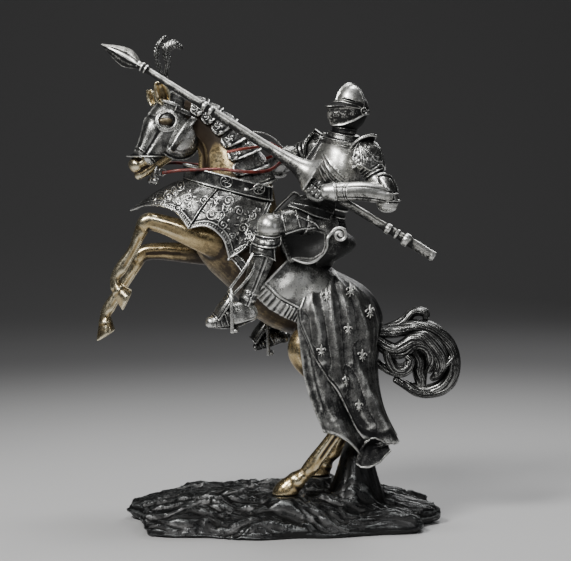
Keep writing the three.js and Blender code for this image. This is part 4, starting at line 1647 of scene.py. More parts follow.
        def surface(u: Array, v: Array) -> Array:
            """The middle of the cup, up by u and across by v.

            Args:
                u: share across it.
                v: share down it.

            Returns:
                The points.
            """
            across = 2 * v - 1
            half = wide * np.sqrt(np.clip(1 - np.abs(2 * u - 1) ** 2.4, 0.02, 1)) * (1.08 - 0.16 * u)
            cup = aside * (half * across)[:, None] - out * (half * (1 - across**2))[:, None]
            return start + rise * u[:, None] + cup

        def rim(u: Array, v: Array) -> Array:
            """The rolled rim."""
            return 0.7 * np.maximum(bump(np.abs(2 * v - 1), 0.9, 0.12), bump(u, 0.93, 0.07))

        return sheet(surface, 40, 40, 1.3, rim)

    def crest(self) -> list[Piece]:
        """Models the plumes: flat feathers with slanting barbs beside a quill.

        Returns:
            The new objects.
        """

        def barbs(share: Array, turn: Array) -> Array:
            """Barbs that slant from the quill, and break up at the edge.

            Args:
                share: places along it, from 0 to 1.
                turn: angle round it.

            Returns:
                What stands proud, in millimetres.
            """
            edge = np.abs(np.cos(turn))
            slant = np.cos(130 * share - 7 * edge)
            quill = 0.5 * bump(edge, 0.0, 0.16)
            broken = 0.25 * slant + 0.25 * np.cos(37 * share + 3)
            return quill + edge * broken * smooth_step(share, 0.25, 0.45)

        wider = np.array([1, 1, 1, 1.15, 1.25])
        pieces = [
            Limb(np.array(rows) * wider, (-1.0, 0.0, 0.2)).model(28, 170, barbs) for rows in self.plumes
        ]
        socket = laid(turned_bar(((3.2, 0), (3.4, 1), (2.6, 2), (2.8, 6), (3.5, 7.4), (2.4, 8)), 24),
                      (-88, 0, 307), (-91, 0, 317))
        return [*pieces, socket]

    def bit(self) -> list[Piece]:
        """Models the shanks of the bit with their bosses and rings.

        Returns:
            The new objects.
        """
        pieces = []
        for y in (-4.5, 4.5):
            pieces.append(
                tube(((-101, y, 261), (-103, 1.15 * y, 255), (-102.5, y, 250.5)), (1.4, 1.3, 1.2), 12)
            )
            pieces.append(ball((-102.8, 1.2 * y, 249.0), (2.8, 2.4, 2.8), 0, 20))
            pieces.append(ring_bar((-97, 1.3 * y, 256), (0.1, 1, 0), 2.8, 0.8))
        return [reshaped(piece, head_turned) for piece in pieces]

    def build(self) -> None:
        """Models the head armour and dresses it."""
        armour = joined(self.plates())
        places = figure_places(armour)
        nape = smooth_step(places[:, 2], 303, 309) * smooth_step(places[:, 0], -92, -84)
        low = 0.2 * (1 - smooth_step(places[:, 2], 262, 285))
        socket = 1.0 * bump(np.hypot(places[:, 0] + 92, places[:, 2] - 296), 6.5, 2.6)
        self.settle(armour, "chamfron", SILVER, crease=50, painted_shade_and_stain=0.8 * nape + low + socket)
        eyes = [reshaped(ball((-95.0, y, 296.5), (6.4, 3.2, 5.6), 0, 28), head_turned) for y in (-10.4, 10.4)]
        ears = [self.ear(*ear) for ear in self.ears]
        for eye in eyes:
            places = figure_places(eye)
            middle = places.mean(axis=0)
            places[:, 2] = np.where(
                places[:, 2] > middle[2], middle[2] + 0.45 * (places[:, 2] - middle[2]), places[:, 2]
            )
            put(eye, places)
        gold = joined([*ears, *eyes])
        dim = 1 - smooth_step(figure_places(gold)[:, 2], 303, 308)
        self.settle(gold, "ears_and_eyes", GOLD, painted_shade_and_stain=2.3 * dim - 0.6)
        self.settle(joined(self.crest()), "head_plumes", DARK_SILVER, painted_shade_and_stain=0.35)
        self.settle(joined(self.bit()), "bit", DARK_SILVER)


@dataclass
class NeckPlates(SubAssembly):
    """The crinet: plates that lap down the crest of the neck."""

    lames: int = 7
    first: float = 0.04
    last: float = 0.8
    spread: float = 1.5  # half the turn that a plate covers
    plate: float = 1.4
    rise: float = 2.2

    def lame(self, number: int) -> Piece:
        """Models one plate with its rim, crest and flowers.

        Args:
            number: its number from the poll.

        Returns:
            The new object.
        """
        length = (self.last - self.first) / self.lames
        start = self.first + length * number
        embossed = 1.0 - smooth_step(number, 3.5, 5.0)

        def surface(u: Array, v: Array) -> Array:
            """The plate's middle: its ends are round and dip.

            Args:
                u: share across it.
                v: share down it.

            Returns:
                The points.
            """
            aside = np.abs(2 * u - 1)
            share = start + length * (0.5 + (1.1 * v - 0.5) * (1 - 0.35 * aside**6) + 0.22 * aside**2)
            turn = (2 * u - 1) * self.spread * (1 - 0.12 * (2 * v - 1) ** 4)
            return NECK.surface(share, CREST_TURN + turn, self.plate + self.rise * v)

        drawn = Ridges()
        for u in (0.12, 0.3, 0.7, 0.88):
            hand = 1 if u < 0.5 else -1
            board = Ground(surface, u, 0.48, 0.6 * hand)
            for k in range(5):
                petal = spiral(0.8, 3.2, 0.16, 2 * math.pi * k / 5, hand)
                drawn.add(board.lay(petal), (0.4, 0.7, 0.4), 0.65 * embossed + 0.05)

        def relief(u: Array, v: Array) -> Array:
            """The rolled rim, the groove above it, the tooling and the fin on the crest.

            Args:
                u: share across it.
                v: share down it.

            Returns:
                What stands proud, in millimetres.
            """
            fin = bump(u, 0.5, 0.035) * (0.4 + 0.6 * np.sin(math.pi * np.clip(v, 0, 1)))
            ends = bump(u, 0.02, 0.016) + bump(u, 0.98, 0.016)
            tooling = 0.2 * layered_noise(np.column_stack([u * 70, v * 13]), 3.0, 2, number)
            return 0.45 * bump(v, 0.94, 0.07) - 0.7 * bump(v, 0.8, 0.06) + fin + 0.6 * ends + tooling

        return sheet(surface, 130, 24, 1.5, relief, (drawn,))

    def build(self) -> None:
        """Models the plates and dresses them."""
        whole = joined([self.lame(number) for number in range(self.lames)])
        crest = 1 - smooth_step(np.abs(figure_places(whole)[:, 1]), 3, 9)
        self.settle(whole, "neck_plates", SILVER, painted_shade_and_stain=0.45 * crest)


COLLAR = {"x": -40.0, "z": 247.0, "long": 38.0, "wide": 25.0, "tilt": 0.26, "tall": 12.0}
COLLAR_SHARE = 1 / 3
BREAST_TURN = math.radians(152)


@dataclass
class BreastPlate(SubAssembly):
    """The peytral, with the engraved collar that it flares out from."""

    scallops: Sequence[tuple[float, Stations]] = (
        (6 / 12, ((-120, 0, 224), (-104, -19, 229), (-84, -31, 226), (-72, -36, 212))),
        (10 / 12, ((-72, -36, 212), (-58, -39, 214), (-46, -39, 205), (-41, -37, 188))),
        (1.0, ((-41, -37, 188), (-30, -36, 195), (-19, -34, 206))),
    )
    # Middle x and z, size, turn in quarters and hand of each scroll.
    scrolls: Sequence[tuple[float, float, float, float, int]] = (
        (-41, 234, 4.6, 0.4, 1), (-54, 224, 4.8, 2.3, -1), (-30, 213, 4.6, 1.2, 1), (-45, 216, 4.2, 3.1, 1),
        (-33, 226, 4.0, 0.2, -1), (-60, 234, 3.8, 1.6, 1), (-23, 222, 3.6, 2.8, -1), (-50, 234, 3.2, 3.4, -1),
        (-38, 207, 3.2, 0.9, -1), (-25, 206, 2.8, 1.9, 1), (-79, 245, 4.2, 0.3, 1), (-72, 236, 4.0, 1.4, -1),
        (-88, 237, 4.4, 2.2, 1), (-101, 235.6, 3.8, 3.0, -1),
        (-94, 243, 3.2, 0.8, -1), (-80, 228, 3.4, 2.6, 1),
    )
    flowers: Sequence[tuple[float, float, float]] = ((-42.5, 249, 4.4), (-18, 243, 4.0))
    cells: tuple[int, int] = (560, 104)
    drop: float = 46.0  # from the collar to the hem, for the widths of its borders

    def edge(self, reach: Array) -> Array:
        """The hem, from the beak in front round to the rider's knee.

        Args:
            reach: share of the way round from the middle.

        Returns:
            The points.
        """
        places = np.zeros((*reach.shape, 3))
        start = 0.0
        for number, (upto, rows) in enumerate(self.scallops):
            t = (reach - start) / (upto - start)
            last = number == len(self.scallops) - 1
            inside = (reach >= start) if last else (reach >= start) & (reach < upto)
            places = np.where(inside[..., None] | (number == 0), smooth_line(rows, t), places)
            start = upto
        return places

    def surface(self, u: Array, v: Array) -> Array:
        """The middle of the plate: round the neck by u and down by v.

        Args:
            u: share across it.
            v: share down it.

        Returns:
            The points.
        """
        signed = 2 * np.asarray(u, float) - 1
        reach = np.abs(signed)
        side = np.where(signed < 0, -1.0, 1.0)
        turn = reach * BREAST_TURN
        dx = -np.cos(turn) * (COLLAR["long"] - 2)
        band = np.clip(1 - v / COLLAR_SHARE, 0, 1)
        down = np.maximum(0, (v - COLLAR_SHARE) / (1 - COLLAR_SHARE))
        top_z = COLLAR["z"] + (band - 0.5) * COLLAR["tall"] - dx * math.tan(COLLAR["tilt"])
        edge = self.edge(reach)
        swell = np.sin(math.pi * np.minimum(1, down))
        x = (COLLAR["x"] + dx) * (1 - down) + edge[..., 0] * down - 2 * swell * np.cos(turn)
        y = np.sin(turn) * (COLLAR["wide"] * (1 - down) + 4 * swell) + np.abs(edge[..., 1]) * down
        z = top_z * (1 - down) + edge[..., 2] * down + 1.5 * swell
        return np.stack([x, side * y, z], axis=-1)

    def drawing(self) -> Ridges:
        """Draws the scrolls with their leaves and the flowers of the collar.

        Returns:
            The ridges.
        """
        drawn = Ridges(seen=True)
        for x, z, size, turn, hand in self.scrolls:
            c, s = math.cos(0.5 * math.pi * turn), math.sin(0.5 * math.pi * turn)
            for number, stroke in enumerate(scroll(size, hand)):
                spots = stroke @ np.array([[c, s], [-s, c]]) + np.array([x, z])
                drawn.add(spots, (0.5, 0.45, 0.6) if number < 2 else (0.3, 0.8, 0.3), 0.5)
        for x, z, size in self.flowers:
            drawn.add(spiral(size, size, 1.0) + np.array([x, z]), 0.5, 0.8)
            for k in range(5):
                drawn.add(
                    spiral(0.2 * size, 0.75 * size, 0.12, 0.4 * math.pi * k) + np.array([x, z]), 0.5, 0.8
                )
        return drawn

    def relief(self, u: Array, v: Array) -> Array:
        """The rims, beads and seams.

        Args:
            u: share across it.
            v: share down it.

        Returns:
            What stands proud, in millimetres.
        """
        reach = np.abs(2 * u - 1)
        along = 270.0 * u
        low = (1 - v) * self.drop
        rim = 0.8 * bump(low, 0.9, 0.8) + 0.5 * bump(low, 4.2, 0.5) - 0.3 * bump(low, 5.2, 0.5)
        beads = 0.4 * bump(low, 2.6, 0.8) * (0.5 + 0.5 * np.cos(2 * math.pi * along / 2.2))
        high = v * self.drop
        foot = COLLAR_SHARE * self.drop
        collar = np.where(high < foot, 0.7, 0.0) + 0.7 * bump(high, 1.0, 0.7)
        collar += 0.7 * bump(high, foot - 1.2, 0.6) - 0.6 * bump(high, foot + 0.8, 0.6)
        down = smooth_step(v, COLLAR_SHARE, COLLAR_SHARE + 0.04)
        seam = down * (0.9 * bump(reach, 0.497, 0.006) - 0.7 * bump(reach, 0.508, 0.005))
        side_rim = 1.0 * bump(reach, 0.99, 0.008) + 0.8 * bump(reach, 0.95, 0.006)
        dents = 0.25 * lattice_noise(np.column_stack([along, v * self.drop]), 5.0, 3)
        return rim + beads + collar + seam + side_rim + dents

    def build(self) -> None:
        """Models the plate and dresses it."""
        piece = sheet(self.surface, *self.cells, 1.8, self.relief, (self.drawing(),))
        places = figure_places(piece)
        front = (COLLAR["x"] - places[:, 0]) * math.tan(COLLAR["tilt"])
        above = places[:, 2] - (COLLAR["z"] + front)
        band = bump(above, 1.5, 4.5) * (np.hypot(places[:, 0] - COLLAR["x"], 1.5 * places[:, 1]) < 42)
        bare = smooth_step(places[:, 2], 226, 236) * (1 - band)
        back = band * (0.45 + 0.35 * smooth_step(places[:, 0], -52, -40))
        self.settle(piece, "breast_plate", SILVER, painted_shade_and_stain=back - 0.2 * bare)


@dataclass
class SaddleCloth(SubAssembly):
    """The cloth under the saddle, with a border line and a pleated fringe."""

    share: tuple[float, float] = (0.44, 0.685)
    spread: float = math.radians(120)
    proud: float = 3.4
    fringe: float = 0.83
    pleats: int = 17

    def surface(self, u: Array, v: Array) -> Array:
        """The middle of the cloth: round the barrel by u and along it by v."""
        share = self.share[0] + (self.share[1] - self.share[0]) * v
        return BARREL.surface(share, CREST_TURN + (2 * u - 1) * self.spread, self.proud)

    def relief(self, u: Array, v: Array) -> Array:
        """The soft folds, the border line and the pleats.

        Args:
            u: share across it.
            v: share down it.

        Returns:
            What stands proud, in millimetres.
        """
        reach = np.abs(2 * u - 1)
        hem = smooth_step(reach, self.fringe, self.fringe + 0.02)
        wave = np.abs(np.sin(math.pi * self.pleats * v + 1.3 * np.sin(11 * v)))
        pleats = (0.7 + 0.3 * np.sin(31 * v)) * wave**0.9
        line = 0.9 * bump(reach, self.fringe - 0.008, 0.006) - 0.7 * bump(reach, self.fringe + 0.012, 0.007)
        folds = 0.8 * smooth_step(reach, 0.3, 0.8) * np.cos(16 * v + 3 * reach)
        edges = 0.7 * (bump(v, 0.985, 0.012) + bump(v, 0.015, 0.012)) + 0.4 * bump(v, 0.94, 0.01)
        return hem * (pleats - 0.4) + (1 - hem) * folds + line + edges

    def build(self) -> None:
        """Models the cloth and dresses it."""
        piece = sheet(self.surface, 230, 90, 1.6, self.relief)
        places = figure_places(piece)
        # A painted highlight in a streaky band across the middle of the cloth, and the rear corner darker.
        streaks = 0.5 + 0.5 * lattice_noise(places[:, [0]] - 0.35 * places[:, [2]], 3.5, 5)
        shine = bump(places[:, 2], 166, 15) * (0.5 + 0.5 * streaks)
        corner = 1.4 * smooth_step(places[:, 2], 166, 173) * smooth_step(places[:, 0], 30, 37)
        self.settle(piece, "saddle_cloth", CLOTH_SILVER, painted_shade_and_stain=0.2 - 2.6 * shine + corner)


@dataclass
class RearCloth(SubAssembly):
    """The caparison over the croup: an outer layer swept back over an under layer."""

    rear: Stations = (
        (36, 0, 178), (58, 0, 167), (71, 0, 156), (78, 0, 139),
        (76, 0, 118), (75, 0, 98), (80, 0, 73), (94, 0, 43),
    )
    front: Stations = (
        (34, -7, 177), (20, -27, 160), (13, -33, 142),
        (15, -34, 120), (18, -35, 98), (24, -36, 76), (34, -37, 52),
    )
    folds: float = 6.5
    corner: float = 0.62
    hem_drop: float = 17.0
    swept: Stations = (
        (0.3, 1.0), (0.45, 0.985), (0.55, 0.93), (0.68, 0.84), (0.8, 0.72), (0.9, 0.56), (1.0, 0.28)
    )
    backs: Sequence[tuple[Stations, float, float]] = (
        (((40, 176), (38.3, 171), (37.6, 163), (38.5, 149), (40.8, 132), (42.5, 116), (44.3, 102), (47, 90)),
         8.0, 3.0),
        (((41, 174), (46.4, 166), (49.8, 157), (51.6, 148), (52.3, 136), (53, 123), (54, 108)), 7.6, 2.0),
        (((45, 172), (52, 167), (57, 161), (60, 151), (63.6, 140), (67, 129), (68, 115)), 7.0, 1.7),
        (((33, 174), (26, 165), (23.5, 159), (25.6, 149), (28, 139), (30, 124), (33, 108)), 7.0, 1.7),
        (((57, 118), (60, 104), (64, 94), (68, 84), (72, 76), (76, 65), (82, 54)), 7.4, 2.5),
        (((24, 116), (27, 101), (31, 88), (35, 76), (41, 64)), 6.6, 1.5),
        (((50, 100), (56, 92), (60, 78), (64, 66), (71, 56)), 6.6, 1.9),
        (((17, 140), (18, 125), (22, 108), (26, 92), (32, 72)), 5.6, 1.3),
    )
    lilies: Stations = (
        (35, 158.5), (51.5, 133.4), (31, 117), (68.3, 145), (63, 111.5), (49, 93), (54, 161), (61, 73),
    )
    lily: float = 9.8
    flap: Sequence[Stations] = (
        ((67, -33, 44), (71.5, -34, 47.5), (77, -33, 46.5), (83, -28, 42.5)),
        ((62, -32, 36.5), (69, -28.5, 39), (77, -25.5, 40), (85, -23, 40)),
        ((59.6, -37, 30.5), (67, -35, 30), (76.5, -33, 33), (86, -26, 38)),
        ((59, -43, 28), (66, -45, 25.6), (76.5, -42, 28.8), (87, -31, 37)),
    )

    def surface(self, u: Array, v: Array) -> Array:
        """The middle of the under layer: round the croup by u and down by v.

        Args:
            u: share across it.
            v: share down it.

        Returns:
            The points.
        """
        signed = 2 * np.asarray(u, float) - 1
        reach = np.abs(signed)
        side = np.where(signed < 0, -1.0, 1.0)
        down = np.clip(v, 0, 1)
        rear, front = smooth_line(self.rear, down), smooth_line(self.front, down)
        quarter = reach * 0.5 * math.pi
        fold = (0.3 + 3.2 * down * down) * np.cos(reach * self.folds * 2 + 2.2 * down)
        corner = np.exp(-(((reach - self.corner) / 0.16) ** 2))
        hem = -smooth_step(down, 0.7, 1) * (7 * (1 - reach) + self.hem_drop * corner)
        bend = 1 - np.cos(quarter)
        x = rear[..., 0] * (1 - bend) + front[..., 0] * bend + fold * np.cos(quarter)
        y = side * (np.abs(front[..., 1]) * np.sin(quarter) ** 0.8 + fold * np.sin(quarter))
        z = rear[..., 2] * (1 - reach) + front[..., 2] * reach + hem
        return np.stack([x, y, z], axis=-1)

    def outer(self, u: Array, v: Array) -> Array:
        """The same surface, down to the line that the outer layer is swept back to.

        Args:
            u: share across it.
            v: share down it.

        Returns:
            The points.
        """
        reach = np.abs(2 * np.asarray(u, float) - 1)
        rows = np.asarray(self.swept)
        return self.surface(u, v * np.interp(reach, rows[:, 0], rows[:, 1]))

    def creases(self, reach: Array, down: Array) -> Array:
        """The small slack of the cloth between its folds."""
        fine = layered_noise(np.column_stack([reach * 60, down * 9]), (5.0, 3.0), 3, 7)
        return 0.55 * fine * smooth_step(down, 0.0, 0.3)

    def outer_relief(self, u: Array, v: Array) -> Array:
        """The outer layer's slack, its folds at the back and its rolled edge.

        Args:
            u: share across it.
            v: share down it.

        Returns:
            What stands proud, in millimetres.
        """
        reach = np.abs(2 * u - 1)
        border = 0.9 * bump(v, 0.987, 0.011) - 0.5 * bump(v, 0.96, 0.01)
        wave = np.abs(np.sin(reach * 12 + 0.5)) ** 0.6
        back = 1.2 * (1 - wave) * (1 - smooth_step(reach, 0.25, 0.45)) * smooth_step(v, 0.25, 0.5)
        border *= smooth_step(reach, 0.3, 0.5)
        return 1.6 + back + self.creases(reach, v) + border + 0.4 * bump(reach, 0.992, 0.008)

    def under_relief(self, u: Array, v: Array) -> Array:
        """The under layer's slack and its hem."""
        reach = np.abs(2 * u - 1)
        return self.creases(reach, v) + 0.4 * bump(v, 0.985, 0.012) + 0.3 * bump(reach, 0.985, 0.012)

    def folds_seen(self) -> Ridges:
        """Draws the backs of the long folds.

        Returns:
            The ridges.
        """
        folds = Ridges(seen=True, soft=True)
        for path, width, height in self.backs:
            folds.add(path, (0.6 * width, width, width), (0.3 * height, height, 0.8 * height))
        return folds

    def painted_shade_and_stain(self, cloth: Piece, folds: Ridges) -> Array:
        """How dark the wash and the painted shade lie on a layer: painted highlights on the fold crests and
        the hip, painted shade on the back of the croup and inside the turned corner, a painted shadow and
        highlight along the front fold, and the wash round the lilies.

        Args:
            cloth: the layer.
            folds: the long folds.

        Returns:
            One value for each vertex.
        """
        places = figure_places(cloth)
        # The crests of the long folds come out lighter: a painted highlight.
        high = folds.heights(places, np.tile([0.0, 1.0, 0.0], (len(places), 1)))
        apart = np.min([np.hypot(places[:, 0] - x, places[:, 2] - z) for x, z in self.lilies], axis=0)
        # Painted shade on the back of the croup and inside the turned corner, a painted highlight on the hip,
        # and a painted shadow above a painted highlight along the fold at the front.
        back = (1 - smooth_step(np.abs(places[:, 1]), 7, 18)) * smooth_step(places[:, 2], 120, 150)
        turned = bump(places[:, 0], 72, 20) * bump(places[:, 2], 36, 18) * (np.abs(places[:, 1]) > 20)
        hip = 0.6 * bump(places[:, 0], 36, 10) * bump(places[:, 2], 150, 18)
        fall = places[:, 2] + 0.46 * (places[:, 0] - 35)
        front = smooth_step(places[:, 0], 28, 36) * (1 - smooth_step(places[:, 0], 62, 68))
        fold = front * (0.7 * bump(fall, 73, 6) - 0.7 * bump(fall, 60, 6))
        return 0.2 - 0.12 * high + 0.3 * bump(apart, 2.0, 3.0) + 0.8 * back + 0.5 * turned + fold - hip

    def made_lilies(self, folds: Ridges) -> Piece:
        """Models the lilies, upright on the cloth of both sides.

        Args:
            folds: the long folds.

        Returns:
            The new object.
        """

        def skin(u: Array, v: Array) -> Array:
            """The outer face of the outer layer.

            Args:
                u: share across it.
                v: share down it.

            Returns:
                The points.
            """
            places = self.outer(u, v)
            normals = surface_normal(self.outer, u, v)
            normals[normals[:, 1] * places[:, 1] < 0] *= -1
            proud = 1.3 + self.outer_relief(u, v) + folds.heights(places, normals)
            return places + normals * proud[:, None]

        strokes = []
        step = 1e-3
        for x, z in self.lilies:
            for side in (-1, 1):
                u, v = nearest_place(self.outer, x, z, side)
                spots = self.outer(u + step * np.array([1, -1, 0, 0]), v + step * np.array([0, 0, 1, -1]))
                along, down = (spots[0] - spots[1]) / (2 * step), (spots[2] - spots[3]) / (2 * step)
                slopes = np.column_stack([along, down])[[0, 2]]
                normal = unit(np.cross(along, down))
                for stroke, width in fleur_de_lis(self.lily):
                    du, dv = np.linalg.solve(slopes, stroke.T)
                    rows = np.column_stack([skin(u + du, v + dv), width, np.full(len(width), 1.0)])
                    strokes.append(Limb(rows, tuple(normal)).model(10, 18))
        return joined(strokes)

    def corner_fold(self) -> Piece:
        """Models the corner of the hem that turns over at the near side.

        Returns:
            The new object.
        """

        def pleats(u: Array, v: Array) -> Array:
            """The small pleats that run down to its lip."""
            return 0.22 * np.cos(24 * u + 2 * v)

        return plate(self.flap, (30, 22), pleats, rim=0.0, thickness=1.2)

    def build(self) -> None:
        """Models both layers and dresses them."""
        folds = self.folds_seen()
        outer = sheet(self.outer, 300, 150, 1.4, self.outer_relief, (folds,))
        under = sheet(self.surface, 220, 110, 1.4, self.under_relief, (folds,))
        fold = self.corner_fold()
        lilies = self.made_lilies(folds)
        self.settle(outer, "rear_cloth", CLOTH_SILVER, painted_shade_and_stain=self.painted_shade_and_stain(outer, folds))
        self.settle(lilies, "lilies", CLOTH_SILVER)
        lining = joined([under, fold, mirrored(fold)])
        self.settle(lining, "rear_cloth_lining", CLOTH_SILVER, painted_shade_and_stain=self.painted_shade_and_stain(lining, folds))


@dataclass
class Tail(SubAssembly):
    """The tail: curling locks of combed hair."""

    locks: Sequence[tuple[int, Stations]] = (
        (6, ((80, 3, 128, 4, 4), (93, 4, 132, 4.5, 5), (100, 4, 137, 4, 5), (105, 4, 142.5, 3.6, 4.6),
             (110.5, 3, 144, 3.4, 4.2), (115.5, 2, 142.5, 3.2, 4), (116.5, 1, 138.5, 2.4, 3))),
        (9, ((73, 0, 128, 4, 5), (84, 1, 127.5, 5, 6), (96, 1, 129, 5.5, 8), (107, 1, 132, 5.5, 9),
             (117.5, 1, 131, 5.5, 9), (126.5, 1, 126, 5.5, 9), (134, 1, 118, 5.5, 9), (138.6, 1, 107.5, 5, 8),
             (139, 1, 96, 4.6, 8), (136, 1, 86.5, 4.4, 8), (128, 1, 80.5, 4.6, 8), (118, 1, 78.5, 4.4, 7),
             (107, 1, 80.5, 3.6, 6), (97, 1, 86, 2.4, 3.5))),
        (7, ((73, -2, 124, 4, 5), (83, -4, 117.5, 4.5, 5), (91, -5, 114.5, 4.5, 6), (99, -6, 118, 5, 6),
             (106, -6, 122.5, 5.5, 6), (114, -6, 123.5, 6, 6),
             (121, -6, 119.5, 6.5, 6), (126.5, -5, 111, 6.5, 6),
             (128, -5, 102, 5.6, 6), (125, -4, 94, 4, 4), (121, -4, 90, 2, 2.4))),
        (5, ((78, -1, 117, 3.5, 4), (88.5, -3, 110.5, 4, 4), (98, -4, 111.5, 4, 4), (105, -4, 117, 4, 4),
             (112.5, -4, 117.5, 4.4, 5), (118.5, -4, 112.5, 4.4, 5), (120.8, -3, 104, 4, 5),
             (118.5, -2, 96, 2.4, 3))),
        (4, ((70, 1, 109, 2.8, 3.5), (79.5, 1, 101, 3, 4), (87.7, 0, 96, 3.2, 4), (97, -1, 94, 3, 4),
             (104.5, -2, 97, 2, 3))),
        (5,
         ((92, 2, 89, 2.6, 3), (101.5, 2, 84, 4, 5), (111, 1, 80, 5, 6), (121, 1, 80, 5.4, 7),
          (131, -1, 85, 5.4, 7),
             (136, -2, 93, 5, 6), (136.5, -2, 103, 4, 5), (132.5, -2, 110, 2, 3))),
        (5, ((83, -3, 117, 3, 4), (87, -5, 105, 4, 4.5), (93, -6, 98.5, 4.5, 4.5), (100, -6, 99.5, 4.4, 4),
             (103.6, -6, 105, 3.6, 3.4), (100.5, -6, 108.5, 2, 2.4))),
        (4, ((124, -5, 95, 2.6, 3), (131, -5, 101.5, 3, 3.4), (137, -4, 108, 2.4, 3),
             (139.6, -3, 115, 1, 1.2))),
        (6, ((104, 3, 114, 5, 6), (111, 3, 104, 6, 6), (112, 3, 93, 5.6, 6), (113, 2, 84, 4, 5))),
    )
    depth: float = 0.8

    def lock(self, strands: int, rows: Stations) -> Piece:
        """Models one lock, twisted along its length.

        Args:
            strands: number of strands.
            rows: its stations.

        Returns:
            The new object.
        """
        length = len(rows)

        def strand(share: Array, turn: Array) -> Array:
            """Round strands with sharp partings, coarse ones over fine.

            Args:
                share: places along it, from 0 to 1.
                turn: angle round it.

            Returns:
                What stands proud, in millimetres.
            """
            twist = 0.16 * length * share + 0.35 * np.sin(1.1 * length * share + strands)
            coarse = np.abs(np.sin(0.35 * strands * (turn + twist) + 0.5 * np.sin(5 * share))) ** 0.55
            fine = np.abs(np.sin(1.4 * strands * (turn + 1.2 * twist) + 0.8 * np.sin(13 * share))) ** 0.7
            return self.depth * (1.1 * (coarse - 0.75) + 0.3 * fine)

        return Limb(rows).model(12 * strands, 18 * length, strand, cap=0.05)

    def build(self) -> None:
        """Models the locks and dresses them."""
        dock = Limb(((70, -1, 131, 3.4, 4), (76, -1, 132.5, 4.2, 5), (81, 0, 129, 3, 4))).model(28, 24)
        hair = joined([*(self.lock(*lock) for lock in self.locks), dock])
        self.settle(hair, "tail", DARK_SILVER, painted_shade_and_stain=0.35)


# The saddle


